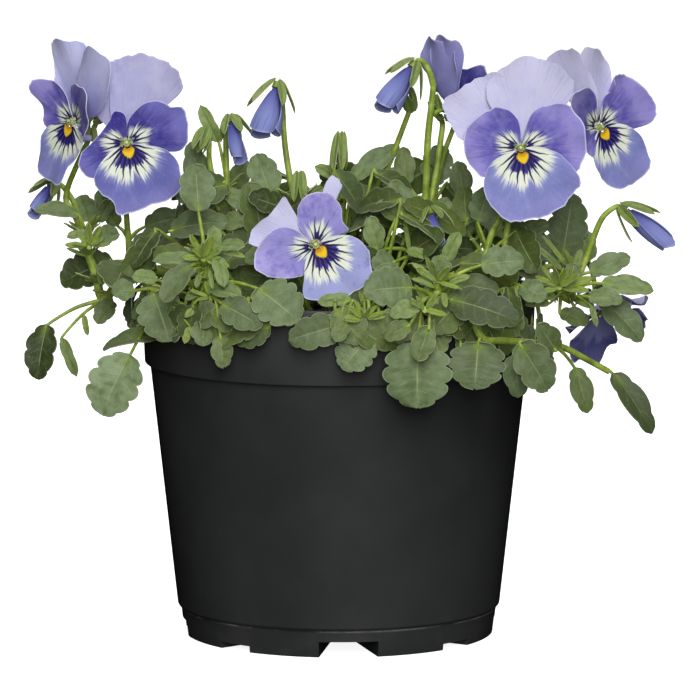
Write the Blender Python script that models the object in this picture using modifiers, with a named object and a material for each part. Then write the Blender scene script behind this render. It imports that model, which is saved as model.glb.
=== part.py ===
"""A potted horned violet: a black nursery pot of the 10.5 cm class, its soil, leafy shoots, blooms and buds.

Places and sizes are in millimetres, with the pot's axis at X = Y = 0, its foot at Z = 0 and the front at -Y.
"""

import math
import random

import bmesh
import bpy
from mathutils import Matrix, Vector
from mathutils.bvhtree import BVHTree

MM = 0.001
UP = Vector((0, 0, 1))
GAP = 0.3

# Pot
POT_STEPS = 26
WALL = 1.3
RIM_TOP = 94.0
RIM_TOP_RADIUS = 53.3
RIM_FOOT = 74.1
RIM_FOOT_RADIUS = 52.5
BODY_TOP_RADIUS = 51.1
BODY_FOOT_RADIUS = 43.8
SHOULDER = 8.0
SHOULDER_DROP = 0.9
RING_TOP = 4.0
RING_RADIUS = 42.0
RING_LIP = 0.5
LEDGE_IN = 2.2
LEDGE_OUT = 0.6
NOTCH_WIDE = (16.2, 6.8, 4.3)
NOTCH_NARROW = (10.5, 4.4, 1.8)
NOTCH_TURN = 3.6
NOTCH_END = 19.0
NOTCH_REACH = 8.0
DRAIN_RADIUS = 3.0
DRAIN_OUT = 30.0
DRAIN_HIGH = 9.0

# Soil
SOIL_STEPS = 13
SOIL_TOP = 85.0
SOIL_FOOT = 6.2
SOIL_RINGS = (0.4, 0.75)
SOIL_LUMP = 0.9
HOLE_SIDES = 6
HOLE_SLACK = 0.35

# Leaves
BLADE = 0.6
BLADE_BULGE = 0.16
LOBE_DEPTH = 0.16
TIP_HALF = 0.35
PETIOLE_HALF = 0.75
PETIOLE_FOLD = 0.35
FLAT_WIDTH = 9.2
ROOT_OUT = 0.25
RIM_ARCH = 2.0
RIM_CLEAR = 1.3
CLEAR = 0.45
SHIFTS = (0, -1.5, 1.5, -3, 3, -4.5, 4.5, -6, 6, -8, 8)
TILTS = (0, 12, -12, 25)
ROW_STEPS = ((5.2, 3), (10, 4), (14, 6))
MOST_ROWS = 8

# Shaded leaves inside the plant
INNER_TRIES = 60
INNER_COUNT = 2
INNER_ROWS = 2
INNER_WIDTHS = (10.5, 14.0)
INNER_LONG = 1.35
INNER_FOLD = 0.15
INNER_CENTRE = 6
INNER_FLOOR = 82
INNER_FRONT = -20
INNER_BACK = 46
INNER_BEHIND = -8
INNER_CLEAR = 22
INNER_TOPS = ((-66, 98), (-52, 104), (-40, 118), (4, 119), (18, 118), (50, 104), (80, 92))

# Shoots of the far side
BACK_SHOOTS = 4
BACK_LEAVES = 5
BACK_FIRST = 20
BACK_STEP = 38
BACK_FOOT = (24, 73.3)
BACK_BENDS = ((31, 0, 92), (40, 3, 101))
BACK_TOP = (44, 2, 112)
BACK_RADII = (1.3, 1.0)
BACK_WIDTHS = (7.5, 9.1)
BACK_LIFT = 62
BACK_FOLD = 0.15

# Flowers
CLAW = 0.9
WAVE = 0.45
PETAL_HOLLOW = 0.003
THROAT = (-0.6, 1.6)
THROAT_RADII = (2.0, 1.5)
SPUR_FOOT = (-3.0, 1.4)
SPUR_LIFT = 4.6
SPUR_TOP = (-4.2, -7.0)
SPUR_RADII = (1.1, 0.8)
HUB = (-2.9, -0.95)
HUB_RADIUS = 1.7
LEAD = (-8.5, 1.5)
STALK_RADII = (0.9, 0.65)

# Calyces: (distance out, distance along, half width) at the two ends of a sepal
CALYX_BACK = 4.4
CALYX_HALF = 0.9
CALYX_RADII = (0.9, 1.3)
SEPAL_ROOT = (0.9, 0.3, 1.3)
SEPAL_REACH = 7.8
SEPAL_OUT = 4.2
SEPAL_TIP_HALF = 0.4

# Buds
BUD_ROWS = 3
BUD_OVERLAP = 8
BUD_START = 2.1
BUD_REACHES = (1.0, 0.88, 0.94)
BUD_CORE = 1.25
BUD_CORE_RADII = (1.0, 0.5)
BUD_INNER = 1.7

# Clean-up after a union
WELD = 0.002
FLAT_ANGLE = 0.6

# Colours, linear
BLACK = (0.012, 0.012, 0.013)
PEAT = (0.03, 0.018, 0.011)
LEAF_GREEN = (0.14, 0.22, 0.11)
FACE_VIOLET = (0.2, 0.18, 0.58)
PALE_LILAC = (0.5, 0.48, 0.8)
BUD_VIOLET = (0.14, 0.14, 0.45)


BLOOMS = {
    "bloom_1": dict(
        at=(-56.5, -15, 134.5), turn=0, lift=4, roll=15,
        petals=[
            ("lip", 3, 1.2, [(-4.5, -2.5), (-8, -7), (-8, -12), (-3.5, -16), (-2, -19), (5, -17),
                             (13.5, -13.5), (14.5, -7), (11, -2), (4.5, -0.5)]),
            ("right", 2, 0, [(0.5, 2.5), (0.5, 6), (3.5, 10), (7.5, 11.5), (12, 10), (15.5, 9.5),
                             (16.5, 4), (15, -1.5), (10, -2)]),
            ("left", 2, 0, [(0, 2.5), (-0.5, 7.5), (-3.5, 8.5), (-5, 5.5), (-8.5, 1), (-12, -2.5),
                            (-12.5, -7.5), (-8.5, -9.5), (-5, -4.5)]),
            ("upper_front", 0, -1.3, [(-4, 6.5), (-4.5, 13.5), (-4, 21.5), (1.5, 23.5), (6, 23.5),
                                      (12, 20.5), (15, 16), (13.5, 12.5), (8.5, 9)]),
            ("upper_back", 0, -2.4, [(-7.5, 6.5), (-9.5, 11.5), (-9.5, 17), (-7.5, 20.5), (-4, 22),
                                     (-1, 19.5), (0, 13)]),
        ],
    ),
    "bloom_2": dict(
        at=(-71, -8, 139.5), turn=-48, lift=4, roll=-4,
        petals=[
            ("lip", 4, 1.2, [(-3, -0.5), (-9, -2), (-11, -8.5), (-10.5, -13.5), (-4.5, -16.5), (0, -16.5),
                             (1.5, -12), (5.5, -8), (6, -3)]),
            ("left", 4, 0, [(-1, 2.5), (-3.5, 8), (-8, 10.5), (-14, 10.5), (-16, 7.5), (-12, 3.5),
                            (-10.5, -2), (-5, -1)]),
            ("right", 22, 0, [(1.5, 3), (2.5, 8.5), (5, 10.5), (11.5, 9), (13, 4), (10.5, -3), (6.5, -2)]),
            ("upper_front", 6, -1.3, [(0.5, 2), (-0.5, 6), (3, 16.5), (10.5, 20.5), (17, 16), (15.5, 9),
                                      (10, 3), (4.5, 1)]),
            ("upper_back", 0, -2.4, [(-6.5, 2), (-10.5, 9), (-11.5, 14), (-13, 20), (-8.5, 21.5),
                                     (-0.5, 21.5), (3.5, 17), (1.5, 9)]),
        ],
    ),
    "bloom_3": dict(
        at=(-6, -41, 110), turn=0, lift=6, roll=37,
        petals=[
            ("lip", 3, 1.2, [(-2.5, -3.5), (-3, -8), (-3, -13.5), (2.5, -14.5), (8, -13.5), (13.5, -10),
                             (14.5, -5.5), (13.5, -0.5), (9.5, 2.5), (4.5, 2.5)]),
            ("right", 2, 0, [(-2.5, 2.5), (-4.5, 5.5), (-4.5, 10.5), (-1.5, 13.5), (3, 14), (6.5, 10.5),
                             (7, 6.5), (8.5, 4), (5, 2.5)]),
            ("left", 2, 0, [(-2.5, 2), (-6.5, 4.5), (-10.5, 4.5), (-14, 1.5), (-16, -3), (-15, -7),
                            (-10.5, -8.5), (-3.5, -8), (-2, -4.5)]),
            ("upper_front", 0, -1.3, [(-4, 5), (-6.5, 10), (-8.5, 13), (-11, 9.5), (-16, 5), (-18, 1),
                                      (-15, -0.5), (-8, -1.5)]),
            ("upper_back", 0, -2.4, [(0.5, 8.5), (2, 14.5), (4, 18), (7, 16), (5, 12), (3.5, 8)]),
        ],
    ),
    "bloom_4": dict(
        at=(48.5, -20, 133.5), turn=0, lift=4, roll=3,
        petals=[
            ("lip", 3, 1.2, [(-3, -1), (-7.5, -3.5), (-10, -8.5), (-8.5, -14), (-4, -19), (2.5, -19),
                             (8.5, -17), (15, -11), (14.5, -6), (10.5, -1.5), (5, 0.5)]),
            ("left", 2, 0, [(0, 3), (-1, 8), (-5, 11), (-9.5, 10), (-14.5, 5.5), (-15, -1), (-11, -7.5),
                            (-6, -5.5)]),
            ("right", 2, 0, [(0.5, 3), (3, 9.5), (8, 12), (12.5, 12), (16.5, 7), (17.5, 0.5), (15, -6),
                             (10.5, -4)]),
            ("upper_front", 0, -1.3, [(-5, 6.5), (-9, 13), (-8.5, 18), (-4, 22), (2, 24.5), (8, 23),
                                      (13.5, 19), (13, 13), (8, 8.5)]),
            ("upper_back", -1, -2.4, [(-9, 1), (-16, 2.5), (-19.5, 7.5), (-20.5, 12.5), (-17, 15.5),
                                      (-11, 19), (-5.5, 20), (-2.5, 15.5)]),
        ],
    ),
    "bloom_5": dict(
        at=(69.7, -5, 137.8), turn=38, lift=2, roll=4,
        petals=[
            ("lip", 4, 1.2, [(-2.5, -3), (-3.5, -8), (-1.5, -13.5), (4.5, -16.5), (12.5, -14.5), (15, -9.5),
                             (13.5, -4), (9, 0), (3.5, 1)]),
            ("right", 4, 0, [(1, 3), (1.5, 8), (5, 10.5), (4.5, 13.5), (8.5, 14), (15, 10), (18.5, 5.5),
                             (17.5, 1), (12, -1), (6.5, 0)]),
            ("left", 20, 0, [(-1.5, 3), (-3.5, 8.5), (-7, 11), (-13.5, 10.5), (-15, 7), (-10.5, 0),
                             (-5.5, -7.5), (-1.5, -3)]),
            ("upper_front", 0, -1.3, [(-1.5, 3.5), (-10, 8), (-17, 13.5), (-18.5, 19), (-12, 21.5), (-5, 20),
                                      (-1, 13.5), (1.5, 6.5)]),
            ("upper_back", 0, -2.4, [(1, 3.5), (-3.5, 10.5), (-5, 17), (-4, 21.5), (1.5, 20.5), (5.5, 17),
                                     (6.5, 12.5), (4.5, 6)]),
        ],
    ),
    "bloom_6": dict(
        at=(31, 3, 145), turn=140, lift=35, roll=0, scale=0.72, cup=25,
        petals=[
            ("lip", 0, 1.2, [(-4, -2), (-9, -9), (-7, -17), (0, -20), (7, -17), (9, -9), (4, -2)]),
            ("left", 0, 0, [(-1, 3), (-5, 10), (-13, 9), (-16, 1), (-10, -5), (-4, -3)]),
            ("right", 0, 0, [(1, 3), (5, 10), (13, 9), (16, 1), (10, -5), (4, -3)]),
            ("upper_front", 0, -2.8, [(-4, 3), (-7, 13), (-5, 21), (2, 23), (7, 17), (4, 5)]),
            ("upper_back", 0, -4.2, [(-4, 5), (-6, 14), (0, 21), (8, 22), (12, 15), (8, 5)]),
        ],
    ),
    "bloom_7": dict(
        at=(71, 8, 86.5), turn=25, lift=-55, roll=10, scale=0.75, cup=22, hooked=True,
        petals=[
            ("lip", 0, 1.2, [(-4, -2), (-9, -9), (-7, -17), (0, -20), (7, -17), (9, -9), (4, -2)]),
            ("left", 0, 0, [(-1, 3), (-5, 10), (-13, 9), (-16, 1), (-10, -5), (-4, -3)]),
            ("right", 0, 0, [(1, 3), (5, 10), (13, 9), (16, 1), (10, -5), (4, -3)]),
            ("upper_front", 0, -2.4, [(-4, 3), (-9, 12), (-7, 19), (0, 21), (5, 15), (3, 5)]),
            ("upper_back", 0, -3.9, [(-3, 5), (-3, 14), (3, 20), (10, 18), (12, 12), (6, 4)]),
        ],
    ),
}

BUDS = {
    "bud_1": dict(top=(-16.5, -13, 150), tip=(-20, -17, 136), width=8.5, petals=3, open=0.55),
    "bud_2": dict(top=(20, -7, 155), tip=(12, -11, 142.5), width=7.5, petals=3, open=0.6),
    "bud_3": dict(top=(76.5, -5, 116), tip=(90, -9, 105.5), width=6.0, petals=3, open=0.85),
    "bud_4": dict(top=(-77.5, 5, 121.5), tip=(-83, -1, 113.5), width=4.0, petals=2),
    "bud_5": dict(top=(-36, 4, 136), tip=(-38.5, 0, 130.5), width=3.6, petals=0),
    "bud_6": dict(top=(-29, 1, 139.5), tip=(-26.5, -4, 128), width=4.6, petals=2),
    "bud_7": dict(top=(0.5, 10, 134), tip=(0, 7, 124), width=3.6, petals=0),
    "bud_8": dict(top=(-10.5, -13, 125.5), tip=(-10.5, -15, 118.5), width=3.6, petals=0),
    "bud_9": dict(top=(25, -9, 115.5), tip=(26.5, -14, 107), width=4.4, petals=2),
    "bud_10": dict(top=(19.5, 5, 142.5), tip=(18, 2, 147.5), width=3.6, petals=0),
}

SHOOTS = {
    "shoot_left": dict(
        stem=[(-14, 2, 73.3), (-30, 1, 91), (-50, -1, 98.5), (-58, -2, 97),
              (-63.5, -3, 91), (-65.5, -3, 97.5), (-68, -2, 104.5), (-68.5, -1, 109.5)],
        radii=(1.4, 1.1),
        stalks=[
            ("bloom_2", 0.97, [(-71.5, 1, 114), (-73.5, 3, 120)]),
            ("bud_4", 0.98, [(-71.5, 5, 116), (-75, 6, 121)]),
        ],
        leaves=[
            (0.99, (-70, -5, 114), (-81.5, -8, 115.5), 6, -10, 50, 0.2),
            (0.97, (-65, -6, 108), (-59, -8, 109.5), 6, 10, 25, 0.15),
            (1, (-67.5, 4, 111.5), (-70, 7, 118), 7, -5, 12, 0.2),
            (0.76, (-78.5, -6, 84.5), (-81, -8, 70), 9.5, -15, 28, 0.12),
            (0.76, (-61, -7, 91), (-65, -11, 85.5), 6, -10, 15, 0.2),
        ],
    ),
    "shoot_rear_left": dict(
        stem=[(-18, 14, 73.3), (-34, 12, 93), (-47, 8.5, 98),
              (-55.5, 5, 97.5), (-57, 3, 108), (-57.5, 2, 116)],
        radii=(1.3, 0.8),
        stalks=[
            ("bloom_1", 1, [(-57.5, -2, 123.5), (-57, -6, 132)]),
        ],
        leaves=[
            (0.86, (-52.5, 9, 109.5), (-42, 9, 112.5), 7.5, 5, 15, 0.15),
            (0.86, (-60, 10, 109.5), (-65.5, 12, 119), 6, -5, 8, 0.15),
            (0.73, (-49.5, 2, 102.5), (-37.5, -1, 106), 8, 0, 25, 0.15),
            (0.72, (-59, 4, 92), (-62, 6, 100), 6, -5, 20, 0.15),
            (0.69, (-51.5, 14, 102.5), (-49, 18, 109), 7, 0, 10, 0.15),
        ],
    ),
    "shoot_low_left": dict(
        stem=[(-22, -10, 73.3), (-35, -19, 94), (-43, -25, 98.5), (-47, -28, 96), (-48, -31, 89.5)],
        radii=(1.3, 1.0),
        stalks=[],
        leaves=[
            (1, (-55.5, -26, 79), (-63, -27, 63), 15, -15, 25, 0.1),
            (1, (-48, -30, 84), (-63, -20, 79.5), 6.5, -10, 50, 0.2),
            (0.9, (-49, -31, 96), (-44.5, -38, 84), 13, -8, 28, 0.12),
            (0.85, (-54.5, -21, 95.5), (-60.5, -22, 95.5), 6.5, -5, 30, 0.15),
            (0.8, (-48.5, -22, 98.5), (-55, -22, 99.5), 5, -5, 35, 0.2),
            (0.88, (-35.5, -43, 90), (-35.5, -47, 84), 7, 0, 25, 0.15),
        ],
    ),
    "shoot_front_left": dict(
        stem=[(-22, -21, 73.3), (-27.5, -27, 88), (-34.5, -34, 93.5), (-35, -36, 100.5), (-35, -37, 107)],
        radii=(1.4, 1.2),
        stalks=[],
        leaves=[
            (0.68, (-31, -49, 87), (-30, -50.5, 79), 6, -5, 15, 0.12),
            (1, (-37, -33, 118), (-38, -28, 130), 10, 5, 15, 0.1),
            (0.97, (-37.5, -39, 105.5), (-49, -39, 105.5), 5, -5, 50, 0.2),
            (0.95, (-39, -41, 104.5), (-46, -46, 95.5), 7, -10, 35, 0.3),
            (0.85, (-33.5, -41, 98.5), (-25.5, -49, 97.5), 5.5, 5, 30, 0.2),
            (0.8, (-21, -49, 99.5), (-10.5, -54, 91.5), 13.5, 0, 28, 0.12),
            (0.72, (-30.5, -49.5, 95.5), (-20, -54.5, 90), 9, 0, 22, 0.12),
        ],
    ),
    "shoot_rear_mid_left": dict(
        stem=[(-27, 3, 73.3), (-29, 4, 95), (-30, 4, 106.5),
              (-30, 3, 117.5), (-30.5, 6, 130.5), (-30.5, 5.5, 138)],
        radii=(1.2, 0.7),
        stalks=[
            ("bud_6", 1, [(-30, 4, 140), (-29, 1, 139.5)]),
            ("bud_5", 0.72, [(-33.5, 5, 122), (-35, 6, 128), (-35, 5, 133.5), (-36, 4, 136)]),
        ],
        leaves=[
            (0.55, (-31, -4, 120.5), (-21.5, -8, 114), 6.5, 10, 35, 0.12),
            (0.57, (-27.5, 8, 116.5), (-20.5, 10, 119), 7.5, 5, 10, 0.15),
            (0.61, (-37, 8, 118), (-40, 10, 132.5), 7.5, 0, 8, 0.15),
            (0.66, (-28.5, 9, 118), (-25.5, 12, 127.5), 6, 0, 8, 0.15),
            (0.51, (-31, -14, 112.5), (-24.5, -17, 113.5), 6, 5, 35, 0.2),
            (0.49, (-45, -16, 111), (-29.5, -22, 114), 9, 0, 35, 0.15),
        ],
    ),
    "shoot_centre": dict(
        stem=[(-10, -4, 73.3), (-11, -7, 92), (-11, -13, 108.5), (-11, -12, 117),
              (-13, -10, 124.5), (-14.5, -8, 134.5), (-15, -7.5, 144), (-15.5, -9, 148)],
        radii=(1.2, 0.7),
        stalks=[
            ("bud_1", 1, [(-16, -11.5, 150), (-16.5, -13, 150)]),
            ("bloom_3", 0.5, [(-8.5, -24, 114), (-6.5, -33, 111.5)]),
            ("bud_8", 0.6, [(-10, -12, 123), (-10.5, -13, 125.5)]),
        ],
        leaves=[
            (0.56, (-18, -11, 119.5), (-22, -8, 131), 9, 0, 12, 0.12),
            (0.54, (-14.5, -9, 117), (-20.5, -8, 117.5), 5, -5, 30, 0.2),
            (0.45, (-17, -22, 105.5), (-25, -26, 104), 6.5, -5, 35, 0.2),
            (0.45, (-13, -26, 104), (-14.5, -34, 99.5), 6.5, 0, 30, 0.2),
        ],
    ),
    "shoot_front_centre": dict(
        stem=[(3, -24, 73.3), (4.5, -32.5, 88.5), (6.5, -44, 91), (7, -46, 94)],
        radii=(1.3, 1.0),
        stalks=[],
        leaves=[
            (0.9, (8, -55.5, 87.5), (1, -58, 79.5), 11, 0, 15, 0.1),
            (0.92, (2, -58, 91.5), (-1, -60.5, 87), 5, -5, 20, 0.15),
            (0.95, (0.5, -56, 91), (-13, -56.5, 87), 9.5, -5, 8, 0.12),
        ],
    ),
    "shoot_rear_centre": dict(
        stem=[(2, 13, 73.3), (2, 14, 95), (1.5, 14, 105.5),
              (1, 12, 116.5), (0.5, 11, 124.5), (0.5, 10, 132)],
        radii=(1.2, 0.7),
        stalks=[
            ("bud_7", 1, [(0.5, 10, 134)]),
            ("bud_10", 0.3, [(5, 10, 110), (9, 8, 117.5), (13.5, 6, 126.5), (16, 5, 133), (19, 5, 141)]),
        ],
        leaves=[
            (0.68, (3.5, 4, 123), (16.5, 7, 131.5), 6.5, 5, 30, 0.12),
            (0.59, (3.5, 16, 114.5), (13, 18, 123.5), 9, 0, 8, 0.12),
            (0.57, (-1, 18, 112.5), (-5.5, 20, 119.5), 7.5, 0, 8, 0.12),
            (0.52, (6.5, 14, 107.5), (12.5, 18, 112), 8, 0, 15, 0.12),
        ],
    ),
    "shoot_mid_right": dict(
        stem=[(13, 1, 73.3), (17, 0, 92), (23, -4, 102), (23, -4, 110),
              (23.5, -4, 121), (24, -4, 134.5), (25, -4, 144), (25.5, -4, 149)],
        radii=(1.3, 0.8),
        stalks=[
            ("bud_2", 1, [(24.5, -5, 152.5), (23, -5, 155), (21.5, -6, 156), (20, -7, 155)]),
            ("bloom_6", 0.5, [(26, 0, 123), (27.5, 3, 133), (28, 4, 138.5)]),
            ("bud_9", 0.4, [(24, -7, 114), (25, -9, 115.5)]),
            ("spent", 0.45, [(26.5, 6, 121), (28.5, 9, 129), (31, 12, 135.5), (33, 14, 140.5)]),
        ],
        leaves=[
            (0.47, (21, -8, 112.5), (14, -6, 123.5), 7, 0, 15, 0.12),
            (0.45, (17.5, -9, 113.5), (10, -9, 118), 5.5, -5, 30, 0.15),
            (0.41, (10.5, -15, 106), (8.5, -15, 115), 6, -5, 15, 0.12),
            (0.48, (25, 4, 108.5), (29.5, 4, 118), 6.5, 5, 12, 0.12),
            (0.55, (18.5, 13, 120.5), (17.5, 16, 130.5), 6, 0, 8, 0.12),
            (0.55, (25.5, 12, 120.5), (28, 15, 131), 9, 0, 8, 0.12),
            (0.4, (15, -18, 103), (9, -22, 102), 7.5, 0, 25, 0.15),
        ],
    ),
    "shoot_front_right": dict(
        stem=[(15, -21, 73.3), (19, -30, 88), (24, -41, 89.5),
              (24, -43, 93.5), (26, -43, 98), (26.5, -42, 100.5)],
        radii=(1.4, 1.1),
        stalks=[],
        leaves=[
            (0.7, (20.5, -57, 86.5), (20.5, -59.5, 69.5), 18.5, 0, 12, 0.08),
            (0.8, (23.5, -61, 91), (20.5, -63, 82.5), 6.5, 0, 14, 0.2),
            (0.89, (21, -57, 96), (13.5, -59, 93.5), 5.5, 0, 30, 0.15),
            (0.84, (18.5, -60.5, 91.5), (12, -61.5, 88), 5.5, 0, 20, 0.15),
            (0.9, (19, -47, 99.5), (6.5, -51, 99), 12, -5, 24, 0.1),
            (0.85, (29, -47, 96.5), (47, -51, 91), 11, 5, 26, 0.1),
            (0.95, (37.5, -35, 104), (49, -34, 105), 9, 5, 28, 0.1),
            (1, (26.5, -46, 102.5), (26.5, -46, 108), 6.5, 0, 25, 0.2),
            (0.9, (31, -32, 98.5), (42.5, -33, 97), 7, 5, 20, 0.15),
        ],
    ),
    "shoot_mid_far_right": dict(
        stem=[(23, -5, 73.3), (31, -7, 92), (42.5, -11, 96), (44.5, -10, 105.5), (45.5, -9, 112.5)],
        radii=(1.3, 0.8),
        stalks=[
            ("bloom_4", 1, [(47, -8, 121), (48, -7.5, 128.5)]),
            ("bloom_5", 0.55, [(40, -12, 106.5), (43, -6, 112.5), (51.5, 6, 121), (61, 12, 128.5),
                         (67.5, 6, 134)]),
        ],
        leaves=[
            (0.66, (37.5, -3, 112), (40.5, 0, 121), 8, 5, 12, 0.12),
            (0.66, (35.5, 5, 107.5), (30, 8, 116), 6.5, 0, 10, 0.12),
            (0.83, (47.5, 2, 106.5), (57, 0, 111.5), 6, 5, 25, 0.15),
            (0.66, (34, 10, 117), (32.5, 12, 127), 6.5, 0, 10, 0.12),
            (0.66, (48.5, -22, 97), (55, -24, 93.5), 7, 5, 25, 0.15),
            (0.69, (51.5, -2, 101), (56, 0, 108), 7.5, 5, 12, 0.12),
        ],
    ),
    "shoot_right": dict(
        stem=[(29, 4, 73.3), (40, 2, 94), (50, -2, 98.5), (57, -5, 96.5),
              (62, -8, 91.5), (63, -8, 96.5), (63, -7, 100)],
        radii=(1.4, 1.1),
        stalks=[
            ("bud_3", 0.88, [(66, -5, 100.5), (68.5, -5, 107.5), (70.5, -5, 112.5),
                       (72.5, -5, 115), (75, -5, 116.5), (76.5, -5, 116)]),
            ("bloom_7", 0.62, [(60, 2, 100.5), (65, 9, 102), (68.5, 12.5, 98.5),
                         (69.6, 11.6, 94.5), (69.9, 10.3, 90.1)]),
        ],
        leaves=[
            (1, (62.5, -12, 96.5), (63, -12, 102), 5.5, 0, 15, 0.2),
            (0.95, (67.5, -8, 99), (78.5, -8, 103), 6.5, 10, 25, 0.12),
            (0.9, (70.5, -12, 96.5), (84.5, -13, 94.5), 6, 10, 30, 0.12),
            (0.85, (70.5, -8, 92), (81.5, -10, 80.5), 8.5, 15, 22, 0.15),
            (0.85, (67, -14, 93), (76, -16, 92), 6, 10, 35, 0.15),
            (0.92, (57, -14, 96.5), (48, -15, 101), 6.5, -5, 28, 0.15),
            (0.8, (59.5, -9, 88), (67.5, -9, 85.5), 5.5, 5, 25, 0.15),
            (0.98, (60.5, 5, 100.5), (63.5, 8, 118.5), 11.5, 5, 8, 0.1),
            (0.98, (68, 4, 100.5), (67.5, 6, 108.5), 5, 5, 12, 0.15),
        ],
    ),
    "shoot_low_right": dict(
        stem=[(23, -18, 73.3), (28, -35, 93), (31, -42, 98.2), (34.5, -46, 94.5), (37.5, -48, 86.5),
              (44, -43, 85), (53.5, -33, 83), (59.5, -25, 81), (66, -19, 77), (72.5, -15, 73)],
        radii=(1.2, 0.8),
        stalks=[],
        leaves=[
            (1, (73.5, -15, 72.5), (84, -17, 56.5), 7.5, 15, 25, 0.25),
            (0.78, (63, -22, 75), (66.5, -24, 63), 6.5, 5, 20, 0.15),
            (0.66, (47.5, -49, 85), (55, -50, 73), 10.5, 5, 20, 0.35),
            (0.74, (57.5, -37, 81.5), (52.5, -40, 89), 7, 5, 20, 0.2),
            (0.64, (46, -41, 81), (47.5, -43, 70), 7.5, 5, 14, 0.12),
            (0.5, (36.5, -52, 85.5), (35.5, -55, 74), 15.5, 5, 18, 0.08),
        ],
    ),}


def clear_scene():
    for obj in list(bpy.data.objects):
        bpy.data.objects.remove(obj)


def collection(name):
    made = bpy.data.collections.new(name)
    bpy.context.scene.collection.children.link(made)
    return made


def finish(obj, colour, roughness):
    """Gives an object its own material and smooth shading with crisp edges."""
    made = bpy.data.materials.new(obj.name + "_finish")
    made.use_nodes = True
    shader = made.node_tree.nodes["Principled BSDF"]
    shader.inputs["Base Color"].default_value = (*colour, 1)
    shader.inputs["Roughness"].default_value = roughness
    shader.inputs["Metallic"].default_value = 0
    made.diffuse_color = (*colour, 1)
    obj.data.materials.clear()
    obj.data.materials.append(made)
    obj.data.shade_smooth()
    obj.data.set_sharp_from_angle(angle=math.radians(40))


def linked(name, mesh, where):
    obj = bpy.data.objects.new(name, mesh)
    where.objects.link(obj)
    return obj


def object_of(name, bm, where):
    """A mesh object made from a bmesh in mm."""
    bmesh.ops.scale(bm, vec=(MM, MM, MM), verts=bm.verts)
    mesh = bpy.data.meshes.new(name)
    bm.to_mesh(mesh)
    bm.free()
    return linked(name, mesh, where)


def weld(mesh):
    """Joins the points that lie on each other and turns every face outward."""
    bm = bmesh.new()
    bm.from_mesh(mesh)
    bmesh.ops.remove_doubles(bm, verts=bm.verts, dist=WELD * MM)
    bmesh.ops.recalc_face_normals(bm, faces=bm.faces)
    bm.to_mesh(mesh)
    bm.free()


def evaluated_mesh(obj):
    bpy.context.view_layer.update()
    graph = bpy.context.evaluated_depsgraph_get()
    return bpy.data.meshes.new_from_object(obj.evaluated_get(graph))


def apply_modifiers(obj):
    mesh = evaluated_mesh(obj)
    obj.modifiers.clear()
    obj.data = mesh


def boolean(obj, others, operation, solver="EXACT"):
    """One Boolean on a collection that holds the others, applied, with the others then removed."""
    held = collection(obj.name + "_" + operation.lower())
    for other in others:
        for home in list(other.users_collection):
            home.objects.unlink(other)
        held.objects.link(other)
        other.hide_render = True
        other.display_type = "WIRE"
    modifier = obj.modifiers.new("join", "BOOLEAN")
    modifier.operation = operation
    modifier.operand_type = "COLLECTION"
    modifier.collection = held
    modifier.solver = solver
    apply_modifiers(obj)
    for other in others:
        bpy.data.objects.remove(other)
    bpy.data.collections.remove(held)


def islands(bm):
    """The groups of faces that hold together, the smallest first."""
    left = set(bm.faces)
    found = []
    while left:
        seed = left.pop()
        group = [seed]
        queue = [seed]
        while queue:
            face = queue.pop()
            near = [other for edge in face.edges for other in edge.link_faces if other in left]
            for other in near:
                if other in left:
                    left.remove(other)
                    group.append(other)
                    queue.append(other)
        found.append(group)
    return sorted(found, key=len)


def drop_flaps(bm):
    """Removes pairs of faces that lie back to back on the same corners."""
    bm.verts.index_update()
    seen = {}
    for face in bm.faces:
        seen.setdefault(frozenset(vert.index for vert in face.verts), []).append(face)
    flaps = [face for group in seen.values() if len(group) > 1 for face in group]
    bmesh.ops.delete(bm, geom=flaps, context="FACES_ONLY")
    loose = [edge for edge in bm.edges if not edge.link_faces]
    bmesh.ops.delete(bm, geom=loose, context="EDGES")


def keep_body(obj):
    """Splits a union's faces into triangles, and drops loose scraps and the skins of sealed hollows."""
    bm = bmesh.new()
    bm.from_mesh(obj.data)
    bmesh.ops.remove_doubles(bm, verts=bm.verts, dist=WELD * MM)
    bmesh.ops.dissolve_limit(bm, angle_limit=math.radians(FLAT_ANGLE), verts=bm.verts, edges=bm.edges)
    bmesh.ops.triangulate(bm, faces=bm.faces)
    drop_flaps(bm)
    for group in islands(bm)[:-1]:
        bmesh.ops.delete(bm, geom=group, context="FACES")
    bm.to_mesh(obj.data)
    bm.free()


def is_closed(obj):
    bm = bmesh.new()
    bm.from_mesh(obj.data)
    closed = all(edge.is_manifold for edge in bm.edges)
    bm.free()
    return closed


def fuse(name, first, others):
    """One body from overlapping parts, by the second solver where the first leaves it open."""
    first.name = name
    home = first.users_collection[0]
    whole = first.data.copy()
    spares = [(other.name, other.data.copy()) for other in others]
    boolean(first, others, "UNION")
    keep_body(first)
    if not is_closed(first):
        first.data = whole
        again = [linked(label, mesh, home) for label, mesh in spares]
        boolean(first, again, "UNION", "MANIFOLD")
        keep_body(first)
    return first


def lathe(name, profile, steps, where):
    """A solid turned about Z from a profile that runs from its top to its foot on the outer side."""
    bm = bmesh.new()
    points = [bm.verts.new((radius, 0, height)) for radius, height in profile]
    for first, second in zip(points, points[1:]):
        bm.edges.new((first, second))
    obj = object_of(name, bm, where)
    screw = obj.modifiers.new("turn", "SCREW")
    screw.steps = steps
    screw.render_steps = steps
    screw.use_merge_vertices = True
    screw.merge_threshold = WELD * MM
    apply_modifiers(obj)
    weld(obj.data)
    return obj


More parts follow.
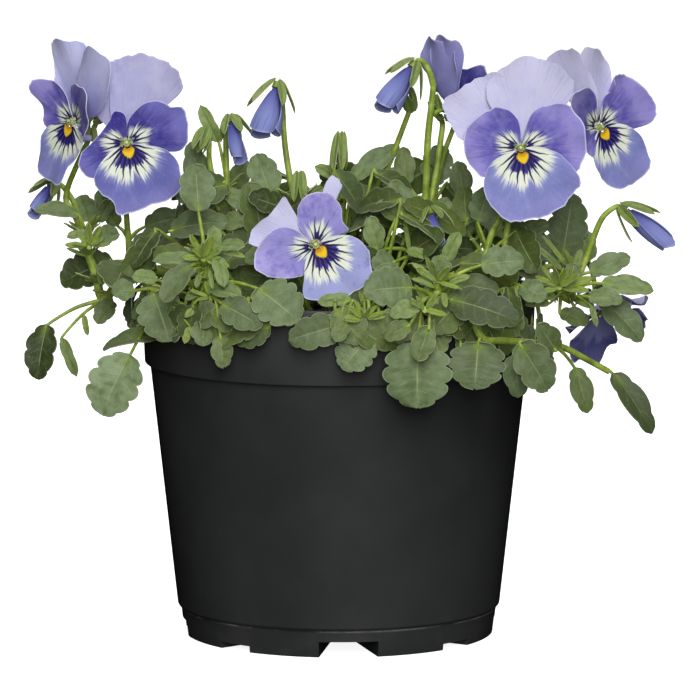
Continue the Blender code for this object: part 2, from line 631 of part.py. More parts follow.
def rod(name, foot, top, foot_radius, top_radius, sides, where):
    """A straight or tapered rod between two points."""
    axis = top - foot
    bm = bmesh.new()
    bmesh.ops.create_cone(
        bm, cap_ends=True, segments=sides, radius1=foot_radius, radius2=top_radius, depth=axis.length
    )
    bm.transform(axis.to_track_quat("Z", "Y").to_matrix().to_4x4())
    bmesh.ops.translate(bm, vec=(foot + top) / 2, verts=bm.verts)
    return object_of(name, bm, where)


def tube(name, points, radii, where):
    """A bevelled curve through the points, made a mesh, with its radius running between the two given."""
    data = bpy.data.curves.new(name, "CURVE")
    data.dimensions = "3D"
    data.bevel_depth = MM
    data.bevel_resolution = 0
    data.use_fill_caps = True
    data.twist_mode = "MINIMUM"
    spline = data.splines.new("POLY")
    last = len(points) - 1
    spline.points.add(last)
    for index, point in enumerate(points):
        spline.points[index].co = (*(Vector(point) * MM), 1)
        spline.points[index].radius = radii[0] + (radii[1] - radii[0]) * index / last
    guide = linked(name + "_guide", data, where)
    mesh = evaluated_mesh(guide)
    weld(mesh)
    obj = linked(name, mesh, where)
    obj.matrix_world = guide.matrix_world
    bpy.data.objects.remove(guide)
    return obj


def blade(name, bm, where):
    """A solid blade from an open surface in mm, split into triangles alike on both faces."""
    bmesh.ops.triangulate(bm, faces=bm.faces, quad_method="SHORT_EDGE")
    obj = object_of(name, bm, where)
    thick = obj.modifiers.new("thick", "SOLIDIFY")
    thick.thickness = BLADE * MM
    thick.offset = 0
    apply_modifiers(obj)
    return obj


def sheet(name, rows, where):
    """A blade from a grid moved to the given rows of points."""
    across = len(rows[0])
    bm = bmesh.new()
    bmesh.ops.create_grid(bm, x_segments=across - 1, y_segments=len(rows) - 1, size=1)
    verts = sorted(bm.verts, key=lambda vert: (round(vert.co.y, 4), round(vert.co.x, 4)))
    for index, vert in enumerate(verts):
        vert.co = rows[index // across][index % across]
    return blade(name, bm, where)


def plate(name, outline, where):
    """A blade from one outline of points."""
    bm = bmesh.new()
    bm.faces.new([bm.verts.new(point) for point in outline])
    return blade(name, bm, where)


def along(points, share):
    """The point at this share of a path's length."""
    path = [Vector(point) for point in points]
    lengths = [(b - a).length for a, b in zip(path, path[1:])]
    left = share * sum(lengths)
    for start, end, length in zip(path, path[1:], lengths):
        if left <= length:
            return start + (end - start) * (left / length)
        left -= length
    return path[-1]


def facing(turn, lift):
    """The way a flower or a leaf looks: 0, 0 is to the front, turn is to the right and lift is up."""
    a = math.radians(turn)
    e = math.radians(lift)
    return Vector((math.sin(a) * math.cos(e), -math.cos(a) * math.cos(e), math.sin(e)))


def blade_width(t):
    """Half width of a blade at this share of its length, as a share of the widest half width."""
    return max(1 - (2 * t**0.9 - 1) ** 2, 0) ** 0.6


def over_rim(root, base):
    """Two points where a petiole that leaves the pot passes over the rim, where it has to."""
    inside = root.xy.length
    outside = base.xy.length
    bends = []
    if inside > RIM_TOP_RADIUS or outside < RIM_TOP_RADIUS:
        return bends
    for radius in (RIM_TOP_RADIUS - WALL - RIM_CLEAR, RIM_TOP_RADIUS + RIM_CLEAR):
        share = (radius - inside) / (outside - inside)
        spot = root.lerp(base, min(max(share, 0.1), 0.9))
        if spot.z < RIM_TOP + RIM_ARCH:
            bends.append(Vector((spot.x, spot.y, RIM_TOP + RIM_ARCH)))
    return bends


def leaf_path(root, base, tip, width, look, rows):
    """Stations of a leaf from its root to its tip: (point, half width, share of the fold)."""
    length = (tip - base).length
    bulge = base.lerp(tip, 0.5) + look * (BLADE_BULGE * length)
    stalk_half = min(PETIOLE_HALF, 0.32 * width)
    path = [(spot, stalk_half, PETIOLE_FOLD) for spot in (root, *over_rim(root, base))]
    lobes = rows // 2
    for index in range(rows + 1):
        t = index / rows
        spot = base.lerp(bulge, t).lerp(bulge.lerp(tip, t), t)
        notch = 1 - LOBE_DEPTH * (1 - abs(math.cos(math.pi * lobes * (1 - t))))
        half = max(width / 2 * blade_width(t) * notch, stalk_half)
        if index == rows:
            half = max(0.13 * width, TIP_HALF)
        path.append((spot, half, 1.0))
    return path


def leaf_rows(root, base, tip, width, turn, lift, fold, rows):
    """Rows of points across a leaf, from the root of its petiole to the tip of its notched blade."""
    axis = (tip - base).normalized()
    look = facing(turn, lift)
    look = (look - axis * look.dot(axis)).normalized()
    path = leaf_path(root, base, tip, width, look, rows)
    frames = []
    normal = look
    for index in reversed(range(len(path))):
        before = path[max(index - 1, 0)][0]
        after = path[min(index + 1, len(path) - 1)][0]
        tangent = (after - before).normalized()
        normal = (normal - tangent * normal.dot(tangent)).normalized()
        frames.append((tangent, normal))
    frames.reverse()
    made = []
    for (spot, half, bent), (tangent, normal) in zip(path, frames):
        side = tangent.cross(normal) * half
        raised = normal * (half * fold * bent)
        if width < FLAT_WIDTH or rows == INNER_ROWS:
            made.append([spot - side, spot + side])
        else:
            made.append([spot - side + raised, spot, spot + side + raised])
    back = frames[-1][0] * (0.05 * width)
    made[-1][0] -= back
    made[-1][-1] -= back
    return made


def blade_rows(width):
    """How many rows of faces a blade of this width gets: two for each lobe of its edge."""
    for limit, rows in ROW_STEPS:
        if width < limit:
            return rows
    return MOST_ROWS


def tree_of(obj):
    """A search tree over the object's faces, in mm."""
    points = [vert.co / MM for vert in obj.data.vertices]
    faces = [tuple(face.vertices) for face in obj.data.polygons]
    return BVHTree.FromPolygons(points, faces)


def skin_tree(rows, thickness):
    """A search tree over both sides of a blade this thick, for telling whether it is clear of others."""
    points = []
    for sign in (-0.5, 0.5):
        for index, row in enumerate(rows):
            before = rows[max(index - 1, 0)][1]
            after = rows[min(index + 1, len(rows) - 1)][1]
            normal = (row[-1] - row[0]).cross(after - before).normalized()
            points += [spot + normal * (thickness * sign) for spot in row]
    across = len(rows[0])
    count = across * len(rows)
    faces = []
    for index in range(len(rows) - 1):
        for step in range(across - 1):
            a = index * across + step
            for base in (0, count):
                faces.append((base + a, base + a + 1, base + a + across + 1, base + a + across))
        for edge in (index * across, index * across + across - 1):
            faces.append((edge, edge + across, count + edge + across, count + edge))
    return BVHTree.FromPolygons(points, faces)


def settle(leaf, stem, own, placed, own_blades):
    """Moves a leaf nearer or farther, and tilts it, until it is clear of all that stands.

    The cost is how many faces it crosses of other nodes, then whether it crosses its own shoot.
    """
    share, base, tip, width, turn, lift, fold = leaf
    foot = along(stem, min(share, 0.96))
    way = Vector(base) - foot
    way = (way - UP * (0.5 * way.z)).normalized()
    root = foot + way * ROOT_OUT
    rows = blade_rows(width)
    best = None
    for shift in SHIFTS:
        for tilt in TILTS:
            near = Vector(base) + Vector((0, 0.8 * shift, 0))
            far = Vector(tip) + Vector((0, shift, 0))
            made = leaf_rows(root, near, far, width, turn, lift + tilt, fold, rows)
            skin = skin_tree(made, BLADE + 2 * CLEAR)
            upper = skin_tree(made[1:], BLADE + GAP)
            others = sum(len(skin.overlap(other)) for owner, other in placed if owner != own)
            cost = (others, any(upper.overlap(other) for other in own_blades))
            if best is None or cost < best[0]:
                best = (cost, made, skin, upper)
            if cost == (0, 0):
                return best
    return best


def in_view_of_bloom(spot):
    """Whether a leaf here would stand in front of a bloom or among its petals."""
    for bloom in BLOOMS.values():
        right, up, look = flower_frame(bloom)
        rel = spot - Vector(bloom["at"])
        out = rel.dot(look)
        if out > INNER_BEHIND and (rel - look * out).length < INNER_CLEAR * bloom.get("scale", 1):
            return True
    return False


def inner_top(x):
    """How high the shaded leaves reach at this place across the plant."""
    for (left, low), (right, high) in zip(INNER_TOPS, INNER_TOPS[1:]):
        if x <= right:
            return low + (high - low) * max(x - left, 0) / (right - left)
    return INNER_TOPS[-1][1]


def inner_leaves(name, shoot):
    """Places for the shaded leaves that fill the plant round a shoot, by a rule, in the order to try."""
    draw = random.Random(name)
    made = []
    for _ in range(INNER_TRIES):
        share = draw.uniform(0.3, 0.95)
        swing = draw.uniform(0, 2 * math.pi)
        way = Vector((math.cos(swing), math.sin(swing), draw.uniform(-0.3, 0.5)))
        width = draw.uniform(*INNER_WIDTHS)
        base = along(shoot["stem"], share) + way * draw.uniform(5, 9)
        tip = base + (way + UP * draw.uniform(-0.5, 0.6)).normalized() * (width * INNER_LONG)
        middle = base.lerp(tip, 0.5)
        away = math.degrees(math.atan2(0.7 * middle.x, INNER_CENTRE - middle.y))
        turn = draw.uniform(-50, 50) + (away if middle.y > INNER_CENTRE else 0)
        lift = draw.uniform(10, 60)
        low = INNER_FLOOR < middle.z < inner_top(middle.x) and INNER_FRONT < middle.y < INNER_BACK
        if low and not in_view_of_bloom(middle):
            made.append((share, base, tip, width, turn, lift, INNER_FOLD))
    return made


def place_inner(leaf, stem, own, placed, own_blades):
    """A shaded leaf's rows and its two skins, or nothing where it would cross what stands."""
    share, base, tip, width, turn, lift, fold = leaf
    foot = along(stem, min(share, 0.96))
    root = foot + (base - foot).normalized() * ROOT_OUT
    rows = leaf_rows(root, base, tip, width, turn, lift, fold, INNER_ROWS)
    skin = skin_tree(rows, BLADE + 2 * CLEAR)
    upper = skin_tree(rows[1:], BLADE + GAP)
    others = [other for owner, other in placed if owner != own]
    if any(skin.overlap(other) for other in others):
        return None
    if any(upper.overlap(other) for other in own_blades):
        return None
    return rows, skin, upper


def flower_frame(flower):
    """The directions to a flower's right, to its top and to its front."""
    look = facing(flower["turn"], flower["lift"])
    angle = math.radians(flower["turn"])
    right = Vector((math.cos(angle), math.sin(angle), 0))
    return right, look.cross(right), look


def petal_outline(flower, tilt, layer, outline):
    """The outline of one petal in space, closed by a narrow claw at the throat."""
    right, up, look = flower_frame(flower)
    at = Vector(flower["at"])
    scale = flower.get("scale", 1)
    slope = math.tan(math.radians(tilt + flower.get("cup", 0)))
    claw = [Vector(point).normalized() * CLAW for point in (outline[0], outline[-1])]
    points = []
    for u, v in [claw[0], *outline, claw[1]]:
        out = math.hypot(u, v)
        wave = WAVE * math.sin(5 * math.atan2(v, u) + 3 * layer) * (out / 18) ** 2
        w = layer + slope * out + PETAL_HOLLOW * out * out + wave
        points.append(at + (right * u + up * v + look * w) * scale)
    return points


def make_bloom(name, bloom, where):
    """The face petals with throat and spur as one body, and the upper petals behind them as another."""
    right, up, look = flower_frame(bloom)
    at = Vector(bloom["at"])
    scale = bloom.get("scale", 1)
    groups = {"upper": [], "face": []}
    for petal, tilt, layer, outline in bloom["petals"]:
        points = petal_outline(bloom, tilt, layer, outline)
        groups["upper" if petal.startswith("upper") else "face"].append(plate(petal, points, where))
    ends = [at + look * THROAT[0], at + look * THROAT[1] * scale]
    throat = rod("throat", *ends, *[radius * scale for radius in THROAT_RADII], 6, where)
    rise = SPUR_FOOT[1] + SPUR_LIFT * math.tan(math.radians(bloom.get("cup", 0)))
    ends = [at + (up * high + look * out) * scale for high, out in ((SPUR_FOOT[0], rise), SPUR_TOP)]
    spur = rod("spur", *ends, *[radius * scale for radius in SPUR_RADII], 4, where)
    hub = rod("hub", at + look * HUB[0], at + look * HUB[1], HUB_RADIUS * scale, HUB_RADIUS * scale, 6, where)
    face = fuse(name + "_face_petals", throat, [*groups["face"], spur])
    finish(face, FACE_VIOLET, 0.6)
    upper = fuse(name + "_upper_petals", hub, groups["upper"])
    finish(upper, PALE_LILAC, 0.6)
    return face, upper


def make_bud(name, bud, where):
    """Petals rolled round each other on a short core."""
    top = Vector(bud["top"])
    tip = Vector(bud["tip"])
    axis = (tip - top).normalized()
    length = (tip - top).length
    side = axis.orthogonal().normalized()
    other = axis.cross(side)
    radius = bud["width"] / 2
    core = rod(name, top + axis * BUD_CORE, top + axis * (0.45 * length), *BUD_CORE_RADII, 4, where)
    count = bud["petals"]
    sweep = math.radians(360 / count + BUD_OVERLAP)
    parts = []
    for index in range(count):
        start = 2 * math.pi * index / count
        rows = []
        for step in range(BUD_ROWS):
            t = step / (BUD_ROWS - 1)
            swell = math.sin(math.pi * bud.get("open", 0.8) * t) ** 0.8
            row = []
            for share in (0, 0.5, 1):
                angle = start + sweep * share + 0.5 * t
                out = 0.5 + (radius - BUD_INNER) * swell + (0.75 + 0.35 * t) * share
                edge = 1 - 0.12 * abs(2 * share - 1) * t
                high = BUD_START + (length - BUD_START) * t * BUD_REACHES[index] * edge
                row.append(top + axis * high + (side * math.cos(angle) + other * math.sin(angle)) * out)
            rows.append(row)
        parts.append(sheet(name, rows, where))
    petals = fuse(name + "_petals", core, parts)
    finish(petals, BUD_VIOLET, 0.6)
    return petals


def flower_end(name):
    """What a stalk leads to: the calyx's centre, axis and side, points on the way, sepal tip and count."""
    if name in BLOOMS:
        bloom = BLOOMS[name]
        right, up, look = flower_frame(bloom)
        at = Vector(bloom["at"])
        tip = (SEPAL_REACH * bloom.get("scale", 1), -0.2)
        lead = [] if bloom.get("hooked") else [at + look * LEAD[0] + up * LEAD[1]]
        return at - look * CALYX_BACK, look, up, lead, tip, 3
    bud = BUDS[name]
    top = Vector(bud["top"])
    axis = Vector(bud["tip"]) - top
    length = axis.length
    axis.normalize()
    tip = (bud["width"] / 2, 0.95 * length)
    if bud["petals"]:
        tip = (bud["width"] / 2 + SEPAL_OUT, 0.45 * length)
    return top, axis, axis.orthogonal().normalized(), [], tip, 4 if bud["petals"] == 3 else 3


def calyx_parts(name, centre, axis, side, tip, count, where):
    """The green cup and pointed sepals that hold a bloom or a bud."""
    draw = random.Random(name)
    half = axis * CALYX_HALF
    parts = [rod(name, centre - half, centre + half, *CALYX_RADII, 5, where)]
    for index in range(count):
        angle = 2 * math.pi * (index + 0.1 * draw.uniform(-1, 1)) / count
        out = side * math.cos(angle) + axis.cross(side) * math.sin(angle)
        span = axis.cross(out)
        stretch = draw.uniform(0.85, 1.12)
        rows = []
        for reach, height, wide in (SEPAL_ROOT, (*tip, SEPAL_TIP_HALF)):
            spot = centre + (out * reach + axis * height) * stretch
            rows.append([spot - span * wide, spot + span * wide])
        parts.append(sheet(name, rows, where))
    return parts


def shoot_frame(name, shoot, where):
    """The stem of a shoot, and its flower stalks with their calyces."""
    stem = tube(name, shoot["stem"], shoot["radii"], where)
    parts = []
    for flower, share, points in shoot["stalks"]:
        path = [along(shoot["stem"], share), *[Vector(point) for point in points]]
        if flower in BLOOMS or flower in BUDS:
            centre, axis, side, lead, tip, count = flower_end(flower)
            path += lead
            if (path[-1] - centre).length > CLEAR:
                path.append(centre)
            parts += calyx_parts(flower, centre, axis, side, tip, count, where)
        parts.append(tube(flower + "_stalk", path, STALK_RADII, where))
    return stem, parts


def back_shoots():
    """Shoots for the far side, which repeat the leafy form by a rule."""
    draw = random.Random(7)
    made = {}
    for index in range(BACK_SHOOTS):
        angle = math.radians(BACK_FIRST + BACK_STEP * index)
        out = Vector((math.cos(angle), math.sin(angle), 0))
        side = Vector((-out.y, out.x, 0))
        stem = [out * BACK_FOOT[0] + UP * BACK_FOOT[1]]
        stem += [out * away + side * aside + UP * high for away, aside, high in (*BACK_BENDS, BACK_TOP)]
        stem[-1] += UP * (6 * draw.random())
        leaves = []
        for place in range(BACK_LEAVES):
            share = 0.55 + 0.11 * place
            swing = math.radians((-1) ** place * draw.uniform(25, 70))
            way = out * math.cos(swing) + side * math.sin(swing)
            drop = draw.uniform(-2, 4) + 1.5 * place
            base = along(stem, share) + way * draw.uniform(7, 11) + UP * (2 + 0.3 * drop)
            tip = base + way * draw.uniform(12, 17) + UP * (drop - 7)
            turn = math.degrees(math.atan2(way.x, -way.y))
            leaves.append((share, base, tip, draw.uniform(*BACK_WIDTHS), turn, BACK_LIFT, BACK_FOLD))
        made["shoot_back_%d" % (index + 1)] = dict(stem=stem, radii=BACK_RADII, stalks=[], leaves=leaves)
    return made


def notch_cutter(turn, sizes, grow, where):
    """The channel under the pot at one notch, narrower inward; grow makes it larger on every side."""
    wide, narrow, height = sizes
    reach = RING_RADIUS + NOTCH_REACH
    bm = bmesh.new()
    bmesh.ops.create_cube(bm, size=1)
    for vert in bm.verts:
        outside = vert.co.y < 0
        half = (wide * reach / RING_RADIUS if outside else narrow) / 2 + grow
        vert.co.x = math.copysign(half, vert.co.x)
        vert.co.y = -reach if outside else grow - NOTCH_END
        vert.co.z = height + grow if vert.co.z > 0 else -NOTCH_REACH
    bmesh.ops.rotate(bm, verts=bm.verts, cent=(0, 0, 0), matrix=Matrix.Rotation(math.radians(turn), 3, "Z"))
    return object_of("notch", bm, where)


def notches(grow, where):
    made = []
    for index in range(4):
        turn = NOTCH_TURN + 90 * index
        made.append(notch_cutter(turn, NOTCH_WIDE, grow, where))
        made.append(notch_cutter(turn + 45, NOTCH_NARROW, grow, where))
    return made


def drains(where):
    made = []
    for index in range(4):
        turn = math.radians(NOTCH_TURN + 90 * index)
        spot = Vector((math.sin(turn), -math.cos(turn), 0)) * DRAIN_OUT
        made.append(rod("drain", spot, spot + UP * DRAIN_HIGH, DRAIN_RADIUS, DRAIN_RADIUS, 8, where))
    return made


def make_pot(where, cutters):
    """A thin-walled pot with a rim band, a foot ring, notches and drain holes."""
    outer = [
        (0, RIM_TOP),
        (RIM_TOP_RADIUS, RIM_TOP),
        (RIM_FOOT_RADIUS, RIM_FOOT),
        (BODY_TOP_RADIUS, RIM_FOOT),
        (BODY_FOOT_RADIUS, SHOULDER),
        (BODY_FOOT_RADIUS - SHOULDER_DROP, SHOULDER - SHOULDER_DROP),
        (RING_RADIUS + RING_LIP, RING_TOP),
        (RING_RADIUS, 0),
        (0, 0),
    ]
    inner = [
        (0, RIM_TOP + 2 * WALL),
        (RIM_TOP_RADIUS - WALL, RIM_TOP + 2 * WALL),
        (RIM_FOOT_RADIUS - WALL, RIM_FOOT + LEDGE_IN),
        (BODY_TOP_RADIUS - WALL, RIM_FOOT + LEDGE_OUT),
        (BODY_FOOT_RADIUS - WALL, SHOULDER),
        (RING_RADIUS - WALL, RING_TOP),
        (RING_RADIUS - 2 * WALL, WALL),
        (0, WALL),
    ]
    pot = lathe("pot", outer, POT_STEPS, where)
    hollow = lathe("pot_hollow", inner, POT_STEPS, cutters)
    boolean(hollow, notches(WALL, cutters), "DIFFERENCE")
    boolean(pot, [hollow, *notches(0, cutters), *drains(cutters)], "DIFFERENCE")
    finish(pot, BLACK, 0.35)
    return pot


def soil_height(x, y):
    """Height of the crumbly top of the soil."""
    lumps = math.sin(0.31 * x + 1.3) * math.cos(0.27 * y) + 0.6 * math.sin(0.53 * x - 0.41 * y)
    return SOIL_TOP + SOIL_LUMP * lumps


def make_soil(where, cutters, shoots):
    """The soil that fills the pot, with a plain hole for each shoot."""
    inset = WALL + GAP
    rim_side = RIM_FOOT_RADIUS - inset
    foot_side = BODY_FOOT_RADIUS - inset - RING_LIP
    profile = [(rim_side * share, SOIL_TOP) for share in (0, *SOIL_RINGS, 1)]
    profile += [
        (rim_side, RIM_FOOT + LEDGE_IN + GAP),
        (BODY_TOP_RADIUS - inset, RIM_FOOT + LEDGE_OUT),
        (foot_side, SHOULDER),
        (foot_side - WALL, SOIL_FOOT),
        (0, SOIL_FOOT),
    ]
    soil = lathe("soil", profile, SOIL_STEPS, where)
    for vert in soil.data.vertices:
        if vert.co.z > (SOIL_TOP - 1) * MM and vert.co.xy.length < (rim_side - 1) * MM:
            vert.co.z = soil_height(vert.co.x / MM, vert.co.y / MM) * MM
    holes = []
    for shoot in shoots.values():
        foot = Vector(shoot["stem"][0])
        axis = (Vector(shoot["stem"][1]) - foot).normalized()
        radius = shoot["radii"][0] + HOLE_SLACK
        mouth = foot + axis * (SOIL_TOP + 5 - foot.z) / axis.z
        holes.append(rod("hole", foot - axis * GAP, mouth, radius, radius, HOLE_SIDES, cutters))
    boolean(soil, holes, "DIFFERENCE")
    finish(soil, PEAT, 0.95)
    return soil


def main():
    clear_scene()
    plant = collection("potted_horned_violet")
    cutters = collection("cutters")
    shoots = {**SHOOTS, **back_shoots()}
    pot = make_pot(plant, cutters)
    soil = make_soil(plant, cutters, shoots)
    placed = [("pot", tree_of(pot)), ("soil", tree_of(soil))]
    for name, bloom in BLOOMS.items():
        placed += [(petals.name, tree_of(petals)) for petals in make_bloom(name, bloom, plant)]
    for name, bud in BUDS.items():
        if bud["petals"]:
            placed.append((name, tree_of(make_bud(name, bud, plant))))
    frames = {}
    for name, shoot in shoots.items():
        frames[name] = shoot_frame(name, shoot, plant)
        stem, parts = frames[name]
        placed += [(name, tree_of(part)) for part in (stem, *parts)]
    blades = {}
    for name, shoot in shoots.items():
        stem, parts = frames[name]
        blades[name] = []
        for leaf in shoot["leaves"]:
            cost, rows, skin, upper = settle(leaf, shoot["stem"], name, placed, blades[name])
            if cost[0]:
                continue
            placed.append((name, skin))
            blades[name].append(upper)
            parts.append(sheet(name, rows, plant))
    for name, shoot in shoots.items():
        stem, parts = frames[name]
        count = 0
        for leaf in inner_leaves(name, shoot):
            found = place_inner(leaf, shoot["stem"], name, placed, blades[name])
            if found is None or count == INNER_COUNT:
                continue
            rows, skin, upper = found
            placed.append((name, skin))
            blades[name].append(upper)
            parts.append(sheet(name, rows, plant))
            count += 1
        finish(fuse(name, stem, parts), LEAF_GREEN, 0.55)


main()
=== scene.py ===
"""The looks of a potted horned violet: a black nursery pot, peat soil, leafy shoots, blooms and buds.

Sizes are in millimetres up to the last step of each piece, which scales its mesh to metres.
"""

import math
import random

import bmesh
import bpy
from mathutils import Matrix, Vector, noise
from mathutils.bvhtree import BVHTree


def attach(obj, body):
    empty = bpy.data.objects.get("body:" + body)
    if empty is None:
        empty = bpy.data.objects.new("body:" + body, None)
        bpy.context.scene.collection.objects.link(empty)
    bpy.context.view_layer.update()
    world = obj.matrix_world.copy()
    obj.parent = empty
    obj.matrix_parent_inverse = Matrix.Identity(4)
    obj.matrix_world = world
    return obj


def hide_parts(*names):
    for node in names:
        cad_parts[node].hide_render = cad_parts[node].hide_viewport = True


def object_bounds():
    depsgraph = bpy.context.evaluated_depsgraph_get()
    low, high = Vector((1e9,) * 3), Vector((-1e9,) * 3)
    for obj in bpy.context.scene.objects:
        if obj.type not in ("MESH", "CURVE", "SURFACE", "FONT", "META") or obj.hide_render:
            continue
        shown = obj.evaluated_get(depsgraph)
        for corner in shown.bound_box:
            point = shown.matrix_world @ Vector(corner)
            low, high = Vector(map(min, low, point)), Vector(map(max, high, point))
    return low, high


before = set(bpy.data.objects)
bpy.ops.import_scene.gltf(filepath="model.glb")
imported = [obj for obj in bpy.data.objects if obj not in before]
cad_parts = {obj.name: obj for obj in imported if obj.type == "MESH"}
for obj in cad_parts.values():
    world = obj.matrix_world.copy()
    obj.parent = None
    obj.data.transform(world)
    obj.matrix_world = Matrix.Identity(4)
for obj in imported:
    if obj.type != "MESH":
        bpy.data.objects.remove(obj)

cad_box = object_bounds()

# Studio
# A plain white table under soft white light, with the camera a metre and a half in front of the pot and
# a little above it, turned slightly to the right, as in the photograph.

MM = 0.001
UP = Vector((0, 0, 1))
PHOTO_WIDTH = 696
SENSOR_WIDTH = 36
FOCAL_PIXELS = 5563.6
CAMERA_PLACE = (0, -1494.5, 275.06)
CAMERA_PITCH = 0.1315
CAMERA_TURN = -0.0017
FLOOR_SIZE = 30
FLOOR_WHITE = 0.9
FLOOR_GLOW = 0.88
SKY_STRENGTH = 0.15

camera_data = bpy.data.cameras.new("camera")
camera_data.sensor_width = SENSOR_WIDTH
camera_data.lens = FOCAL_PIXELS * SENSOR_WIDTH / PHOTO_WIDTH
camera_data.clip_end = 100
camera = bpy.data.objects.new("camera", camera_data)
camera.location = [place * MM for place in CAMERA_PLACE]
camera.rotation_euler = (math.pi / 2 - CAMERA_PITCH, 0, CAMERA_TURN)
bpy.context.scene.collection.objects.link(camera)
bpy.context.scene.camera = camera

sky = bpy.data.worlds.new("sky")
sky.use_nodes = True
background = sky.node_tree.nodes["Background"]
background.inputs["Color"].default_value = (1, 1, 1, 1)
background.inputs["Strength"].default_value = SKY_STRENGTH
sky.cycles_visibility.glossy = False
bpy.context.scene.world = sky
bpy.context.scene.view_settings.view_transform = "Standard"


def softbox(name, place, target, size, power):
    """A square soft light that looks from one place to another, in millimetres."""
    data = bpy.data.lights.new(name, "AREA")
    data.shape = "SQUARE"
    data.size = size * MM
    data.energy = power
    lamp = bpy.data.objects.new(name, data)
    lamp.location = Vector(place) * MM
    lamp.rotation_euler = (Vector(place) - Vector(target)).to_track_quat("Z", "Y").to_euler()
    bpy.context.scene.collection.objects.link(lamp)


softbox("key_light", (60, -1150, 950), (0, 0, 100), 700, 12)
softbox("front_light", (40, -1450, 420), (0, 0, 80), 450, 8)
softbox("top_light", (100, 250, 1300), (0, 0, 100), 900, 7)
softbox("back_light", (0, 1600, 600), (0, 0, 80), 900, 3)

bm = bmesh.new()
bmesh.ops.create_grid(bm, x_segments=1, y_segments=1, size=FLOOR_SIZE / 2)
mesh = bpy.data.meshes.new("floor")
bm.to_mesh(mesh)
bm.free()
floor = bpy.data.objects.new("floor", mesh)
bpy.context.scene.collection.objects.link(floor)
white = bpy.data.materials.new("white_table")
white.use_nodes = True
table_look = {
    "Base Color": (FLOOR_WHITE, FLOOR_WHITE, FLOOR_WHITE, 1),
    "Roughness": 0.9,
    "Specular IOR Level": 0.1,
    "Emission Color": (1, 1, 1, 1),
    "Emission Strength": FLOOR_GLOW,
}
for socket, value in table_look.items():
    white.node_tree.nodes["Principled BSDF"].inputs[socket].default_value = value
floor.visible_diffuse = False
floor.visible_glossy = False
floor.data.materials.append(white)


# Pot
# A thin-walled nursery pot, injection moulded in satin black plastic in one piece, with a rim band to grip,
# a shoulder above a foot ring, and drain notches and holes in the foot. It carries the soil and the plant.

POT_STEPS = 160
WALL = 1.3
RIM_TOP = 94.0
RIM_TOP_RADIUS = 53.3
RIM_FOOT = 74.1
RIM_FOOT_RADIUS = 52.5
BODY_TOP_RADIUS = 51.1
BODY_FOOT_RADIUS = 43.8
SHOULDER = 8.0
SHOULDER_DROP = 0.9
RING_TOP = 4.0
RING_RADIUS = 42.0
RING_LIP = 0.5
LEDGE_IN = 2.2
LEDGE_OUT = 0.6
NOTCH_WIDE = (16.2, 6.8, 4.3)
NOTCH_NARROW = (10.5, 4.4, 1.8)
NOTCH_TURN = 3.6
NOTCH_END = 19.0
NOTCH_REACH = 8.0
DRAIN_RADIUS = 3.0
DRAIN_OUT = 30.0
DRAIN_HIGH = 9.0
EDGE_ROUND = 0.35
GLINT_WIDTH = 0.45
DUST_HEIGHT = 16
SHARP_FROM = 50


class Signal:
    """One value that runs through a material's nodes. Sums and products of it add Math nodes."""

    def __init__(self, tree, socket):
        self.tree = tree
        self.socket = socket

    def node(self, kind, settings, sockets, output=0):
        """A node of any type: its settings come first, then the values or links of its sockets."""
        made = self.tree.nodes.new(kind)
        for name, value in settings.items():
            setattr(made, name, value)
        for name, value in sockets.items():
            if isinstance(value, Signal):
                self.tree.links.new(value.socket, made.inputs[name])
            else:
                made.inputs[name].default_value = value
        return Signal(self.tree, made.outputs[output])

    def math(self, operation, *values):
        return self.node("ShaderNodeMath", {"operation": operation}, dict(enumerate(values)))

    __add__ = __radd__ = lambda self, other: self.math("ADD", self, other)
    __mul__ = __rmul__ = lambda self, other: self.math("MULTIPLY", self, other)
    __sub__ = lambda self, other: self.math("SUBTRACT", self, other)
    __rsub__ = lambda self, other: self.math("SUBTRACT", other, self)
    __truediv__ = lambda self, other: self.math("DIVIDE", self, other)
    __pow__ = lambda self, other: self.math("POWER", self, other)
    __abs__ = lambda self: self.math("ABSOLUTE", self)

    def step(self, low, high):
        """Runs smoothly from 0 at low to 1 at high."""
        ends = {"Value": self, "From Min": low, "From Max": high}
        return self.node("ShaderNodeMapRange", {"interpolation_type": "SMOOTHSTEP"}, ends)

    def split(self):
        """The three parts of a vector."""
        parts = self.tree.nodes.new("ShaderNodeSeparateXYZ")
        self.tree.links.new(self.socket, parts.inputs[0])
        return [Signal(self.tree, output) for output in parts.outputs]

    def attribute(self, name):
        """A vector that the mesh holds at each of its points."""
        return self.node("ShaderNodeAttribute", {"attribute_name": name}, {}, "Vector")

    def object_place(self):
        return self.node("ShaderNodeTexCoord", {}, {}, "Object")

    def noise(self, where, scale=1.0, detail=3, rough=0.6):
        """Cloudy noise over a vector, or over three values."""
        if isinstance(where, tuple):
            where = self.node("ShaderNodeCombineXYZ", {}, dict(enumerate(where)))
        sockets = {"Vector": where, "Scale": scale, "Detail": detail, "Roughness": rough}
        return self.node("ShaderNodeTexNoise", {}, sockets)

    def mix(self, first, second, share):
        """A colour between two, each given by its code or as a signal."""
        tones = [colour(tone) if isinstance(tone, str) else tone for tone in (first, second)]
        sockets = {0: share, 6: tones[0], 7: tones[1]}
        return self.node("ShaderNodeMix", {"data_type": "RGBA"}, sockets, 2)

    def coats(self, ground, *coats):
        """A colour with others laid over it in turn, each with the share that it covers."""
        for tone, share in coats:
            ground = self.mix(ground, tone, share)
        return ground


def colour(code):
    """A linear colour from the hexadecimal code that a paint program shows."""
    parts = [int(code[start : start + 2], 16) / 255 for start in (0, 2, 4)]
    linear = [part / 12.92 if part < 0.04 else ((part + 0.055) / 1.055) ** 2.4 for part in parts]
    return (*linear, 1)


